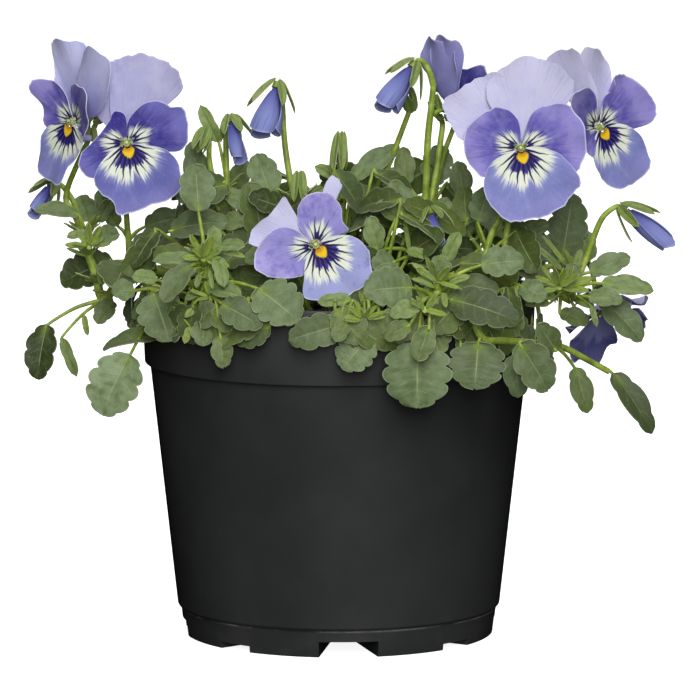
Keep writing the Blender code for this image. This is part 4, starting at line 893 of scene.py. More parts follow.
beard_look = {"Roughness": 0.6, "Specular_IOR_Level": 0.25}
beard_finish = flecked("throat_and_beard", 900, "a9b878", "dfe4c4", **beard_look)
throat_look = {"Roughness": 0.7, "Specular_IOR_Level": 0.2}
throat_finish = flecked("throat_hollow", 700, "7f8744", "b0ae62", **throat_look)
spur_finish = flecked("spur", 260, "8f86cc", "bdb4df", **VELVET)
face_finishes = [lip_finish, side_finish, beard_finish, throat_finish, spur_finish]


def stand(bm, verts, way, middle, finish):
    """Turns new vertices from the upright to a direction, and gives them their place and finish."""
    turn = way.to_track_quat("Z", "Y").to_matrix()
    bmesh.ops.rotate(bm, verts=verts, cent=(0, 0, 0), matrix=turn)
    bmesh.ops.translate(bm, verts=verts, vec=middle)
    for face in {face for vert in verts for face in vert.link_faces}:
        face.material_index = finish


def beard(bm, at, right, up, look, scale):
    """Two tufts of short pale hairs that narrow the throat from its sides."""
    draw = random.Random(round(at.x * 10))
    for number in range(BEARD_HAIRS):
        side = 1 if number % 2 else -1
        root = at + (right * side * draw.uniform(1.0, 1.9) + up * draw.uniform(-0.9, 1.5)) * scale
        root += look * 0.9 * scale
        lean = look * 1.0 - right * side * draw.uniform(0.1, 0.7) + up * draw.uniform(-0.4, 0.3)
        hair = bmesh.ops.create_cone(
            bm,
            cap_ends=False,
            segments=4,
            radius1=HAIR_RADII[0] * scale,
            radius2=HAIR_RADII[1],
            depth=HAIR_LENGTH * scale,
        )["verts"]
        stand(bm, hair, lean, root + lean * 0.4 * scale, BEARD)


def rod(bm, foot, top, radii, sides, finish):
    """A round rod between two points."""
    axis = top - foot
    made = bmesh.ops.create_cone(
        bm, cap_ends=True, segments=sides, radius1=radii[0], radius2=radii[1], depth=axis.length
    )["verts"]
    stand(bm, made, axis, (foot + top) / 2, finish)


for name, bloom in BLOOMS.items():
    right, up, look = flower_frame(bloom)
    at = Vector(bloom["at"])
    scale = bloom.get("scale", 1)
    face_pale, upper_pale = bloom["pales"]
    face_mesh = sheet_mesh()
    upper_mesh = sheet_mesh()
    for number, (kind, tilt, layer, outline) in enumerate(bloom["petals"]):
        chance = (number * 0.37 + at.x * 0.013) % 1
        if kind.startswith("upper"):
            petal(upper_mesh, bloom, tilt, layer, outline, (upper_pale, bloom["deep"], chance), 0)
        else:
            tint = (face_pale, bloom.get("plain", 0), chance)
            petal(face_mesh, bloom, tilt, layer, outline, tint, LIP if kind == "lip" else SIDE)
    beard(face_mesh, at, right, up, look, scale)
    radii = (THROAT_RADIUS * scale, THROAT_MOUTH * scale)
    rod(face_mesh, at - look * THROAT_ENDS[0], at + look * THROAT_ENDS[1] * scale, radii, 14, THROAT)
    knob = at + (look * KNOB_AT[0] + up * KNOB_AT[1]) * scale
    radii = (KNOB_RADII[0] * scale, KNOB_RADII[1] * scale)
    rod(face_mesh, knob - look * KNOB_ENDS[0], knob + look * KNOB_ENDS[1] * scale, radii, 10, BEARD)
    rise = SPUR_FOOT[1] + SPUR_LIFT * math.tan(math.radians(bloom.get("cup", 0))) - SPUR_BACK
    foot = at + (up * SPUR_FOOT[0] + look * rise) * scale
    top = at + (up * SPUR_TOP[0] + look * SPUR_TOP[1]) * scale
    middle = foot.lerp(top, 0.5) - up * 0.5 * scale
    spur_line = smooth_line([foot, middle, top, top - look * 0.8 * scale + up * 0.3], 5)
    add_tubes(face_mesh, [(spur_line, (SPUR_RADII[0] * scale, SPUR_RADII[1] * scale))], SPUR)
    face_node, upper_node = name + "_face_petals", name + "_upper_petals"
    make_piece(name + "_face", face_mesh, face_finishes, [face_node])
    make_piece(name + "_uppers", upper_mesh, [upper_finish], [upper_node])


# Buds
# Blue-violet petals rolled round each other on a short core, held in a calyx that belongs to the shoot.

BUD_ROWS = 14
BUD_ACROSS = 12
BUD_START = 2.1
BUD_OVERLAP = 8
BUD_REACHES = (1.0, 0.88, 0.94)
BUD_INNER = 1.7
BUD_THICK = 0.3
BUD_CORE = (1.25, 0.45)
BUD_CORE_RADII = (1.0, 0.5)

BUDS = {
    "bud_1": dict(top=(-16.5, -13, 150), tip=(-20, -17, 136), width=8.5, petals=3, open=0.55),
    "bud_2": dict(top=(20, -7, 155), tip=(12, -11, 142.5), width=7.5, petals=3, open=0.6),
    "bud_3": dict(top=(76.5, -5, 116), tip=(90, -9, 105.5), width=6.0, petals=3, open=0.85),
    "bud_4": dict(top=(-77.5, 5, 121.5), tip=(-83, -1, 113.5), width=4.0, petals=2),
    "bud_5": dict(top=(-36, 4, 136), tip=(-38.5, 0, 130.5), width=3.6, petals=0),
    "bud_6": dict(top=(-29, 1, 139.5), tip=(-26.5, -4, 128), width=4.6, petals=2),
    "bud_7": dict(top=(0.5, 10, 134), tip=(0, 7, 124), width=3.6, petals=0),
    "bud_8": dict(top=(-10.5, -13, 125.5), tip=(-10.5, -15, 118.5), width=3.6, petals=0),
    "bud_9": dict(top=(25, -9, 115.5), tip=(26.5, -14, 107), width=4.4, petals=2),
    "bud_10": dict(top=(19.5, 5, 142.5), tip=(18, 2, 147.5), width=3.6, petals=0),
}

bud_finish, shader, start = finish_of("bud_petal", **VELVET)
s, t, _ = start.attribute("place").split()
light, _, chance = start.attribute("tint").split()
streaks = start.noise((s * 9, t * 1.2, chance * 7))
violet = start.coats(
    start.mix("4a4c9c", "8088c0", (t + light * 0.4).step(0.1, 1.1)),
    ("3c3a8c", streaks.step(0.5, 0.72) * 0.5),
    ("9fa2d2", abs(s).step(0.86, 1.0) * 0.6),
    ("b0b4da", t.step(0.94, 1.0) * 0.6),
)
feed(shader, "Base Color", violet)
relief(shader, streaks, 0.4, 0.0004)


def bud_petals(bm, bud, chance):
    """Petals rolled round each other, each a sheet that starts under the one before."""
    top = Vector(bud["top"])
    tip = Vector(bud["tip"])
    axis = (tip - top).normalized()
    length = (tip - top).length
    side = axis.orthogonal().normalized()
    other = axis.cross(side)
    radius = bud["width"] / 2
    count = bud["petals"]
    sweep = math.radians(360 / count + BUD_OVERLAP)
    for number in range(count):
        first = 2 * math.pi * number / count
        rows = []
        for index in range(BUD_ROWS + 1):
            t = index / BUD_ROWS
            swell = math.sin(math.pi * bud.get("open", 0.8) * t) ** 0.8
            row = []
            for step in range(BUD_ACROSS + 1):
                share = step / BUD_ACROSS
                angle = first + sweep * share + 0.5 * t
                frill = 0.3 * t**4 * math.sin(9 * share + 2 * number)
                out = 0.5 + (radius - BUD_INNER) * swell + (0.75 + 0.35 * t) * share + frill
                edge = 1 - 0.12 * (2 * share - 1) ** 2 * t
                high = BUD_START + (length - BUD_START) * t * BUD_REACHES[number] * edge
                way = side * math.cos(angle) + other * math.sin(angle)
                row.append((top + axis * high + way * out, (2 * share - 1, t, share)))
            rows.append(row)
        tint = (bud["width"] / 9, 0, chance + 0.3 * number)
        thicken(bm, grid_sheet(bm, rows, tint, 0), BUD_THICK)
    core_ends = (top + axis * BUD_CORE[0], top + axis * (BUD_CORE[1] * length))
    rod(bm, *core_ends, BUD_CORE_RADII, 10, 0)


for number, (name, bud) in enumerate(BUDS.items()):
    if not bud["petals"]:
        continue
    bud_mesh = sheet_mesh()
    bud_petals(bud_mesh, bud, number * 0.31 % 1)
    make_piece(name + "_rolled", bud_mesh, [bud_finish], [name + "_petals"])


# Shoots
# Soft leafy stems that rise from the soil: notched oval leaves on grooved stalks, cut leaflets at their
# feet, and flower stalks that end in a calyx of pointed sepals. All of it is grown, green and finely downy.

BULGE = 0.16
LOBE_DEPTH = 0.2
LOBE_ROUND = 0.6
GROOVE = 0.03
PUFF = 0.004
CURL = 0.03
PETIOLE_HALF = 0.62
LEAF_ACROSS = 12
ROWS_A_LOBE = 8
LEAF_THICK = 0.3
LOBE_STEPS = ((5.2, 1), (8, 2), (11, 3))
MOST_LOBES = 4
ROOT_OUT = 0.25
ARCH = 0.07
RIM_CLEAR = 1.3
RIM_ARCH = 2.0
SHIFTS = (0, -1.5, 1.5, -3, 3, -4.5, 4.5, -6, 6, -8, 8)
TILTS = (0, 12, -12, 25)
FOUND = 1.5
SMALL = 4.6
INNER_TRIES = 60
INNER_WIDTHS = (10.5, 14.0)
INNER_LONG = 1.35
INNER_CENTRE = 6
INNER_FLOOR = 82
INNER_FRONT = -20
INNER_BACK = 46
INNER_BEHIND = -8
INNER_CLEAR = 22
INNER_FOUND = 0.8
INNER_TOPS = ((-66, 98), (-52, 104), (-40, 118), (4, 119), (18, 118), (50, 104), (80, 92))
STALK_RADII = (0.9, 0.65)
LEAD = (-8.5, 1.5)
CALYX_BACK = 4.4
CALYX_HALF = 0.9
CALYX_RADII = (0.9, 1.3)
SEPAL_REACH = 7.8
SEPAL_OUT = 4.2
SEPALS = 5
SEPAL_WIDTH = 2.6
SEPAL_BEND = 0.05
SEPAL_TINT = (0.45, 0.45)
SMALL_FOLD = 0.25
SMALL_ACROSS = 6
TUFT_STEP = 7.0
TUFT_FIRST = 0.45
TUFT_LEAVES = 5
TUFT_LENGTHS = (3.5, 8.5)
TUFT_SLIM = 0.27
TUFT_SPREAD = 1.9
TUFT_FOLD = 0.3
TUFT_ACROSS = 4
TUFT_BEND = -0.06
TUFT_SWAY = (-0.15, 0.15)
TUFT_ASIDE = (0.7, 1.1)
TUFT_AHEAD = 0.7
TUFT_ROOT = 0.7
TUFT_OUTER_LOSS = 0.35
ROSETTE_FAN = 210
ROSETTE_LEAN = (0.2, 1.0)
ROSETTE_SLIM = (0.22, 0.34)
ROSETTE_STEM = (1.1, 0.9)
ROSETTE_LOBED = 5.5
CLEAR = 0.5
TOP_SIDE, UNDER_SIDE, STEM = range(3)
INNER_FOLD = 0.15
LEAST_FOLD = 0.12
LAST_SHARE = 0.96
YOUNG_WIDTH = 7.5
LOW_FROM = 96
LOW_SHADE = 0.35
PROBES = (0.25, 0.5, 0.75)
BACK_SHOOTS = 4
BACK_SEED = 7
BACK_BENDS = ((31, 0, 92), (40, 3, 101), (44, 2, 112))
BACK_LEAVES = 5
BACK_RADII = (1.3, 1.0)
BACK_FIRST = 20
BACK_STEP = 38
BACK_ROOT = 24
BACK_RISE = 6
BACK_SWING = (25, 70)
BACK_DROP = (-2, 4)
BACK_STALK = (7, 11)
BACK_LENGTHS = (12, 17)
BACK_WIDTHS = (7.5, 9.1)
BACK_TILT = 62
BACK_FOLD = 0.15
SOIL_HOLE_Z = 73.3

SHOOTS = {
    "shoot_left": dict(
        stem=[(-14, 2, 73.3), (-30, 1, 91), (-50, -1, 98.5), (-58, -2, 97),
              (-63.5, -3, 91), (-65.5, -3, 97.5), (-68, -2, 104.5), (-68.5, -1, 109.5)],
        radii=(1.4, 1.1),
        rosettes=[((-67, -8, 106), 6.5, 8)],
        stalks=[
            ("bloom_2", 0.97, [(-71.5, 1, 114), (-73.5, 3, 120)]),
            ("bud_4", 0.98, [(-71.5, 5, 116), (-75, 6, 121)]),
        ],
        leaves=[
            (0.99, (-70, -5, 114), (-81.5, -8, 115.5), 6, -10, 50, 0.2),
            (0.98, (-67, -6, 109), (-73, -9, 108.5), 3.5, -20, 40, 0.2),
            (0.97, (-65, -6, 108), (-59, -8, 109.5), 6, 10, 25, 0.15),
            (1, (-67.5, 4, 111.5), (-70, 7, 118), 7, -5, 12, 0.2),
            (1, (-65.5, 2, 111.5), (-61.5, 3, 117.5), 4.5, 10, 20, 0.2),
            (0.76, (-78.5, -6, 84.5), (-81, -8, 70), 9.5, -15, 28, 0.12, 1.0),
            (0.76, (-74.5, -9, 81.5), (-70.5, -10, 71), 3.5, -10, 25, 0.2),
            (0.76, (-68.5, -8, 87.5), (-67.5, -9, 82), 2, -10, 5, 0.2),
            (0.84, (-64, -7, 101.5), (-63.5, -9, 95.5), 3, 0, 25, 0.2),
            (0.76, (-61, -7, 91), (-65, -11, 85.5), 6, -10, 15, 0.2),
        ],
    ),
    "shoot_rear_left": dict(
        stem=[(-18, 14, 73.3), (-34, 12, 93), (-47, 8.5, 98),
              (-55.5, 5, 97.5), (-57, 3, 108), (-57.5, 2, 116)],
        radii=(1.3, 0.8),
        bare=0.7,
        stalks=[
            ("bloom_1", 1, [(-57.5, -2, 123.5), (-57, -6, 132)]),
        ],
        leaves=[
            (0.86, (-52.5, 9, 109.5), (-42, 9, 112.5), 7.5, 5, 15, 0.15),
            (0.86, (-60, 10, 109.5), (-65.5, 12, 119), 6, -5, 8, 0.15),
            (0.73, (-49.5, 2, 102.5), (-37.5, -1, 106), 8, 0, 25, 0.15),
            (0.72, (-59, 4, 92), (-62, 6, 100), 6, -5, 20, 0.15),
            (0.69, (-51.5, 14, 102.5), (-49, 18, 109), 7, 0, 10, 0.15),
        ],
    ),
    "shoot_low_left": dict(
        stem=[(-22, -10, 73.3), (-35, -19, 94), (-43, -25, 98.5), (-47, -28, 96), (-48, -31, 89.5)],
        radii=(1.3, 1.0),
        leaves=[
            (1, (-55.5, -26, 79), (-63, -27, 63), 15, -15, 25, 0.1, -0.3),
            (1, (-48, -30, 84), (-63, -20, 79.5), 6.5, -10, 50, 0.2),
            (0.9, (-49, -31, 96), (-44.5, -38, 84), 13, -8, 28, 0.12, 0.4),
            (0.85, (-54.5, -21, 95.5), (-60.5, -22, 95.5), 6.5, -5, 30, 0.15),
            (0.8, (-48.5, -22, 98.5), (-55, -22, 99.5), 5, -5, 35, 0.2),
            (0.9, (-39, -43, 88.5), (-40.5, -45, 84.5), 2.5, 0, 30, 0.2),
            (0.88, (-35.5, -43, 90), (-35.5, -47, 84), 7, 0, 25, 0.15),
        ],
    ),
    "shoot_front_left": dict(
        stem=[(-22, -21, 73.3), (-27.5, -27, 88), (-34.5, -34, 93.5), (-35, -36, 100.5), (-35, -37, 107)],
        radii=(1.4, 1.2),
        rosettes=[((-35.5, -41, 106.5), 7.5, 10), ((-33.5, -40, 96), 6, 7)],
        leaves=[
            (0.68, (-31, -49, 87), (-30, -50.5, 79), 6, -5, 15, 0.12),
            (1, (-37, -33, 118), (-38, -28, 130), 10, 5, 15, 0.1),
            (1, (-33, -39, 108.5), (-32.5, -37, 114.5), 4.5, 0, 20, 0.2),
            (1, (-31, -41, 109.5), (-24.5, -44, 110), 4.5, 10, 40, 0.2),
            (0.98, (-32, -42, 107), (-30, -47, 99.5), 4.5, 5, 30, 0.2),
            (0.97, (-37.5, -39, 105.5), (-49, -39, 105.5), 5, -5, 50, 0.2),
            (0.95, (-39, -41, 104.5), (-46, -46, 95.5), 7, -10, 35, 0.3),
            (0.85, (-33.5, -41, 98.5), (-25.5, -49, 97.5), 5.5, 5, 30, 0.2),
            (0.8, (-21, -49, 99.5), (-10.5, -54, 91.5), 13.5, 0, 28, 0.12, 0.2),
            (0.72, (-30.5, -49.5, 95.5), (-20, -54.5, 90), 9, 0, 22, 0.12, 0.5),
            (0.96, (-30.5, -41, 108), (-24.5, -43, 107), 2, 10, 40, 0.2),
            (0.75, (-36.5, -39, 93.5), (-40.5, -42, 91), 2.5, -5, 35, 0.2),
            (0.82, (-36.5, -38, 97), (-40.5, -41, 95.5), 2.5, -5, 35, 0.2),
            (0.9, (-36.5, -40, 102), (-37.5, -43, 99), 2, 0, 30, 0.2),
            (0.95, (-34, -41, 103.5), (-33, -44, 98.5), 1.5, 0, 30, 0.2),
            (0.9, (-37.5, -42, 104), (-41.5, -43, 100), 2.5, -5, 35, 0.2),
        ],
    ),
    "shoot_rear_mid_left": dict(
        stem=[(-27, 3, 73.3), (-29, 4, 95), (-30, 4, 106.5),
              (-30, 3, 117.5), (-30.5, 6, 130.5), (-30.5, 5.5, 138)],
        radii=(1.2, 0.7),
        bare=0.72,
        stalks=[
            ("bud_6", 1, [(-30, 4, 140), (-29, 1, 139.5)]),
            ("bud_5", 0.72, [(-33.5, 5, 122), (-35, 6, 128), (-35, 5, 133.5), (-36, 4, 136)]),
        ],
        leaves=[
            (0.74, (-32.5, 9, 132.5), (-37.5, 10, 142.5), 4.5, -10, 12, 0.2),
            (0.55, (-31, -4, 120.5), (-21.5, -8, 114), 6.5, 10, 35, 0.12),
            (0.57, (-27.5, 8, 116.5), (-20.5, 10, 119), 7.5, 5, 10, 0.15),
            (0.61, (-37, 8, 118), (-40, 10, 132.5), 7.5, 0, 8, 0.15),
            (0.66, (-28.5, 9, 118), (-25.5, 12, 127.5), 6, 0, 8, 0.15),
            (0.51, (-31, -14, 112.5), (-24.5, -17, 113.5), 6, 5, 35, 0.2),
            (0.49, (-45, -16, 111), (-29.5, -22, 114), 9, 0, 35, 0.15),
        ],
    ),
    "shoot_centre": dict(
        stem=[(-10, -4, 73.3), (-11, -7, 92), (-11, -13, 108.5), (-11, -12, 117),
              (-13, -10, 124.5), (-14.5, -8, 134.5), (-15, -7.5, 144), (-15.5, -9, 148)],
        radii=(1.2, 0.7),
        bare=0.6,
        stalks=[
            ("bud_1", 1, [(-16, -11.5, 150), (-16.5, -13, 150)]),
            ("bloom_3", 0.5, [(-8.5, -24, 114), (-6.5, -33, 111.5)]),
            ("bud_8", 0.6, [(-10, -12, 123), (-10.5, -13, 125.5)]),
        ],
        leaves=[
            (0.56, (-18, -11, 119.5), (-22, -8, 131), 9, 0, 12, 0.12),
            (0.54, (-14.5, -9, 117), (-20.5, -8, 117.5), 5, -5, 30, 0.2),
            (0.58, (-10.5, -2, 117.5), (-4, 0, 121), 4, 5, 15, 0.2),
            (0.45, (-17, -22, 105.5), (-25, -26, 104), 6.5, -5, 35, 0.2),
            (0.45, (-13, -26, 104), (-14.5, -34, 99.5), 6.5, 0, 30, 0.2),
        ],
    ),
    "shoot_front_centre": dict(
        stem=[(3, -24, 73.3), (4.5, -32.5, 88.5), (6.5, -44, 91), (7, -46, 94)],
        radii=(1.3, 1.0),
        rosettes=[((6.5, -56.5, 92.5), 5.5, 9)],
        leaves=[
            (0.9, (8, -55.5, 87.5), (1, -58, 79.5), 11, 0, 15, 0.1, 0.1),
            (0.92, (2, -58, 91.5), (-1, -60.5, 87), 5, -5, 20, 0.15),
            (0.95, (0.5, -56, 91), (-13, -56.5, 87), 9.5, -5, 8, 0.12, 0.45),
            (0.95, (3.5, -46, 96), (-5.5, -46, 95.5), 4.5, -5, 30, 0.2),
        ],
    ),
    "shoot_rear_centre": dict(
        stem=[(2, 13, 73.3), (2, 14, 95), (1.5, 14, 105.5),
              (1, 12, 116.5), (0.5, 11, 124.5), (0.5, 10, 132)],
        radii=(1.2, 0.7),
        bare=0.72,
        stalks=[
            ("bud_7", 1, [(0.5, 10, 134)]),
            ("bud_10", 0.3, [(5, 10, 110), (9, 8, 117.5), (13.5, 6, 126.5), (16, 5, 133), (19, 5, 141)]),
        ],
        leaves=[
            (0.68, (3.5, 4, 123), (16.5, 7, 131.5), 6.5, 5, 30, 0.12),
            (0.74, (1, 13, 121.5), (-6.5, 13, 125.5), 4, -5, 25, 0.2),
            (0.59, (3.5, 16, 114.5), (13, 18, 123.5), 9, 0, 8, 0.12),
            (0.57, (-1, 18, 112.5), (-5.5, 20, 119.5), 7.5, 0, 8, 0.12),
            (0.52, (6.5, 14, 107.5), (12.5, 18, 112), 8, 0, 15, 0.12),
        ],
    ),
    "shoot_mid_right": dict(
        stem=[(13, 1, 73.3), (17, 0, 92), (23, -4, 102), (23, -4, 110),
              (23.5, -4, 121), (24, -4, 134.5), (25, -4, 144), (25.5, -4, 149)],
        radii=(1.3, 0.8),
        bare=0.47,
        stalks=[
            ("bud_2", 1, [(24.5, -5, 152.5), (23, -5, 155), (21.5, -6, 156), (20, -7, 155)]),
            ("bloom_6", 0.5, [(26, 0, 123), (27.5, 3, 133), (28, 4, 138.5)]),
            ("bud_9", 0.4, [(24, -7, 114), (25, -9, 115.5)]),
            ("spent", 0.45, [(26.5, 6, 121), (28.5, 9, 129), (31, 12, 135.5), (33, 14, 140.5)]),
        ],
        leaves=[
            (0.47, (21, -8, 112.5), (14, -6, 123.5), 7, 0, 15, 0.12),
            (0.45, (17.5, -9, 113.5), (10, -9, 118), 5.5, -5, 30, 0.15),
            (0.41, (10.5, -15, 106), (8.5, -15, 115), 6, -5, 15, 0.12),
            (0.48, (25, 4, 108.5), (29.5, 4, 118), 6.5, 5, 12, 0.12),
            (0.55, (18.5, 13, 120.5), (17.5, 16, 130.5), 6, 0, 8, 0.12),
            (0.55, (25.5, 12, 120.5), (28, 15, 131), 9, 0, 8, 0.12),
            (0.41, (24, -14, 104), (18, -15, 105.5), 3.5, 0, 30, 0.2),
            (0.43, (19, -12, 105), (17.5, -12, 114.5), 1.5, 0, 20, 0.2),
            (0.4, (15, -18, 103), (9, -22, 102), 7.5, 0, 25, 0.15),
        ],
    ),
    "shoot_front_right": dict(
        stem=[(15, -21, 73.3), (19, -30, 88), (24, -41, 89.5),
              (24, -43, 93.5), (26, -43, 98), (26.5, -42, 100.5)],
        radii=(1.4, 1.1),
        rosettes=[((25.5, -45, 101), 7.5, 10), ((22.5, -57, 95), 6, 6)],
        leaves=[
            (0.7, (20.5, -57, 86.5), (20.5, -59.5, 69.5), 18.5, 0, 12, 0.08, 0.2),
            (0.8, (23.5, -61, 91), (20.5, -63, 82.5), 6.5, 0, 14, 0.2),
            (0.89, (21, -57, 96), (13.5, -59, 93.5), 5.5, 0, 30, 0.15),
            (0.84, (18.5, -60.5, 91.5), (12, -61.5, 88), 5.5, 0, 20, 0.15),
            (0.9, (19, -47, 99.5), (6.5, -51, 99), 12, -5, 24, 0.1, 0.25),
            (0.85, (29, -47, 96.5), (47, -51, 91), 11, 5, 26, 0.1, 0.9),
            (0.95, (37.5, -35, 104), (49, -34, 105), 9, 5, 28, 0.1, 0.15),
            (1, (28, -43, 106), (31.5, -41, 113.5), 4.5, 5, 20, 0.2),
            (1, (26.5, -46, 102.5), (26.5, -46, 108), 6.5, 0, 25, 0.2),
            (0.97, (29, -46, 100.5), (34.5, -47, 102.5), 2.5, 5, 35, 0.2),
            (0.97, (25.5, -47, 101), (19, -47, 106), 2, -5, 35, 0.2),
            (0.95, (25, -47, 99.5), (19, -48, 102), 1.5, -5, 35, 0.2),
            (0.9, (27.5, -47, 98), (28, -50, 94.5), 2, 0, 30, 0.2),
            (0.8, (24.5, -50, 92), (24, -56, 86.5), 2, 5, 20, 0.2),
            (0.9, (31, -32, 98.5), (42.5, -33, 97), 7, 5, 20, 0.15),
        ],
    ),
    "shoot_mid_far_right": dict(
        stem=[(23, -5, 73.3), (31, -7, 92), (42.5, -11, 96), (44.5, -10, 105.5), (45.5, -9, 112.5)],
        radii=(1.3, 0.8),
        stalks=[
            ("bloom_4", 1, [(47, -8, 121), (48, -7.5, 128.5)]),
            ("bloom_5", 0.55, [(40, -12, 106.5), (43, -6, 112.5), (51.5, 6, 121), (61, 12, 128.5),
                         (67.5, 6, 134)]),
        ],
        leaves=[
            (0.66, (37.5, -3, 112), (40.5, 0, 121), 8, 5, 12, 0.12),
            (0.66, (35.5, 5, 107.5), (30, 8, 116), 6.5, 0, 10, 0.12),
            (0.83, (47.5, 2, 106.5), (57, 0, 111.5), 6, 5, 25, 0.15),
            (0.79, (46, -13, 106), (51.5, -14, 107), 2, 5, 35, 0.2),
            (0.66, (34, 10, 117), (32.5, 12, 127), 6.5, 0, 10, 0.12),
            (0.66, (48.5, -22, 97), (55, -24, 93.5), 7, 5, 25, 0.15),
            (0.69, (51.5, -2, 101), (56, 0, 108), 7.5, 5, 12, 0.12),
        ],
    ),
    "shoot_right": dict(
        stem=[(29, 4, 73.3), (40, 2, 94), (50, -2, 98.5), (57, -5, 96.5),
              (62, -8, 91.5), (63, -8, 96.5), (63, -7, 100)],
        radii=(1.4, 1.1),
        rosettes=[((59, -20, 96.5), 8.5, 12)],
        stalks=[
            ("bud_3", 0.88, [(66, -5, 100.5), (68.5, -5, 107.5), (70.5, -5, 112.5),
                       (72.5, -5, 115), (75, -5, 116.5), (76.5, -5, 116)]),
            ("bloom_7", 0.62, [(60, 2, 100.5), (65, 9, 102), (68.5, 12.5, 98.5),
                         (69.6, 11.6, 94.5), (69.9, 10.3, 90.1)]),
        ],
        leaves=[
            (1, (62.5, -12, 96.5), (63, -12, 102), 5.5, 0, 15, 0.2),
            (0.95, (67.5, -8, 99), (78.5, -8, 103), 6.5, 10, 25, 0.12),
            (0.9, (70.5, -12, 96.5), (84.5, -13, 94.5), 6, 10, 30, 0.12),
            (0.85, (70.5, -8, 92), (81.5, -10, 80.5), 8.5, 15, 22, 0.15),
            (0.85, (67, -14, 93), (76, -16, 92), 6, 10, 35, 0.15),
            (0.82, (56.5, -16, 91.5), (49.5, -18, 91.5), 3, -5, 30, 0.2),
            (0.9, (58, -15, 93), (53.5, -17, 93.5), 3, -5, 30, 0.2),
            (0.92, (57, -14, 96.5), (48, -15, 101), 6.5, -5, 28, 0.15),
            (0.97, (60, -13, 100), (51.5, -15, 107.5), 2, -5, 30, 0.2),
            (0.99, (60.5, -12, 102), (54.5, -13, 109.5), 1.5, -5, 25, 0.2),
            (0.95, (63.5, -11, 100.5), (65, -11, 105.5), 2.5, 5, 20, 0.2),
            (0.8, (67.5, -17, 91), (69, -19, 85.5), 2, 5, 25, 0.2),
            (0.8, (59.5, -9, 88), (67.5, -9, 85.5), 5.5, 5, 25, 0.15),
            (0.98, (60.5, 5, 100.5), (63.5, 8, 118.5), 11.5, 5, 8, 0.1),
            (0.98, (68, 4, 100.5), (67.5, 6, 108.5), 5, 5, 12, 0.15),
        ],
    ),
    "shoot_low_right": dict(
        stem=[(23, -18, 73.3), (28, -35, 93), (31, -42, 98.2), (34.5, -46, 94.5), (37.5, -48, 86.5),
              (44, -43, 85), (53.5, -33, 83), (59.5, -25, 81), (66, -19, 77), (72.5, -15, 73)],
        radii=(1.2, 0.8),
        bare=0.4,
        leaves=[
            (1, (73.5, -15, 72.5), (84, -17, 56.5), 7.5, 15, 25, 0.25, 0.85),
            (0.78, (63, -22, 75), (66.5, -24, 63), 6.5, 5, 20, 0.15, 0.7),
            (0.66, (47.5, -49, 85), (55, -50, 73), 10.5, 5, 20, 0.35, 0.4),
            (0.74, (57.5, -37, 81.5), (52.5, -40, 89), 7, 5, 20, 0.2),
            (0.64, (46, -41, 81), (47.5, -43, 70), 7.5, 5, 14, 0.12),
            (0.5, (36.5, -52, 85.5), (35.5, -55, 74), 15.5, 5, 18, 0.08, 0.5),
            (0.3, (32.5, -50, 76.5), (34.5, -50, 74.5), 3.5, 5, 18, 0.1),
        ],
    ),
}

leaf_look = {"Specular_IOR_Level": 0.35, "Sheen_Weight": 0.06, "Sheen_Roughness": 0.5}
leaf_finish, shader, start = finish_of("leaf_upper_side", Roughness=0.52, **leaf_look)
s, t, lobes = start.attribute("place").split()
lime, shade, chance = start.attribute("tint").split()
grain = start.noise((s * 2, t * 5, chance * 50), 1.0, 4)
fine = start.noise((s * 14, t * 40, chance * 50))
speckle = start.noise(start.object_place(), 2200, 2)
slant = start.math("FRACT", t * lobes * 1.5 - abs(s) ** 1.4 * 0.9 + grain * 0.5 + chance * 3)
vein = (1 - abs(slant - 0.5).step(0.02, 0.14)) * (1 - abs(s).step(0.5, 0.95))
midrib = (1 - abs(s).step(0.01, 0.06)) * (1 - t.step(0.6, 0.95))
green = start.coats(
    start.mix("73865b", "323e18", shade),
    ("9db087", shade * -1),
    ("98b03e", lime),
    ("4a5a2c", grain.step(0.4, 0.72) * 0.62),
    ("8d9c79", (1 - grain.step(0.25, 0.5)) * (1 - shade) * 0.35),
    ("86a034", (1 - t.step(0.0, 0.35)) * (1 - abs(s).step(0.1, 0.6)) * 0.5),
    ("8c9a72", vein * 0.12),
    ("a3b176", midrib * 0.5),
    ("9aa680", speckle.step(0.55, 0.8) * 0.25),
    ("a5b089", abs(s).step(0.95, 1.0) * 0.55),
)
feed(shader, "Base Color", green)
relief(shader, fine * 0.5 - vein * 0.2 - midrib * 0.8 + speckle * 0.2, 0.5, 0.0003)

under_finish, shader, start = finish_of("leaf_under_side", Roughness=0.65, Specular_IOR_Level=0.25)
s, t, _ = start.attribute("place").split()
lime, shade, chance = start.attribute("tint").split()
grain = start.noise((s * 3, t * 9, chance * 50), 1.0, 4)
green = start.coats(
    start.mix("87976f", "55632f", shade),
    ("94a63f", lime),
    ("66764a", grain.step(0.4, 0.75) * 0.5),
    ("b3be8c", (1 - abs(s).step(0.02, 0.1)) * 0.6),
)
feed(shader, "Base Color", green)
relief(shader, grain, 0.3, 0.0003)

stem_look = {"Specular_IOR_Level": 0.4, "Sheen_Weight": 0.06}
stem_finish, shader, start = finish_of("stem", Roughness=0.45, **stem_look)
where = start.object_place()
streak = start.noise(where, 260)
green = start.mix("788f28", "acc152", streak.step(0.35, 0.7))
patchy = start.noise(where, 45, 2, 0.5)
feed(shader, "Base Color", start.mix(green, "55671b", patchy.step(0.5, 0.75) * 0.5))
relief(shader, streak, 0.4, 0.0003)
leafy_finishes = [leaf_finish, under_finish, stem_finish]


def blade_width(t):
    """Half width of a blade at this share of its length, as a share of the widest half width."""
    return max(1 - (2 * t**0.9 - 1) ** 2, 0) ** 0.52


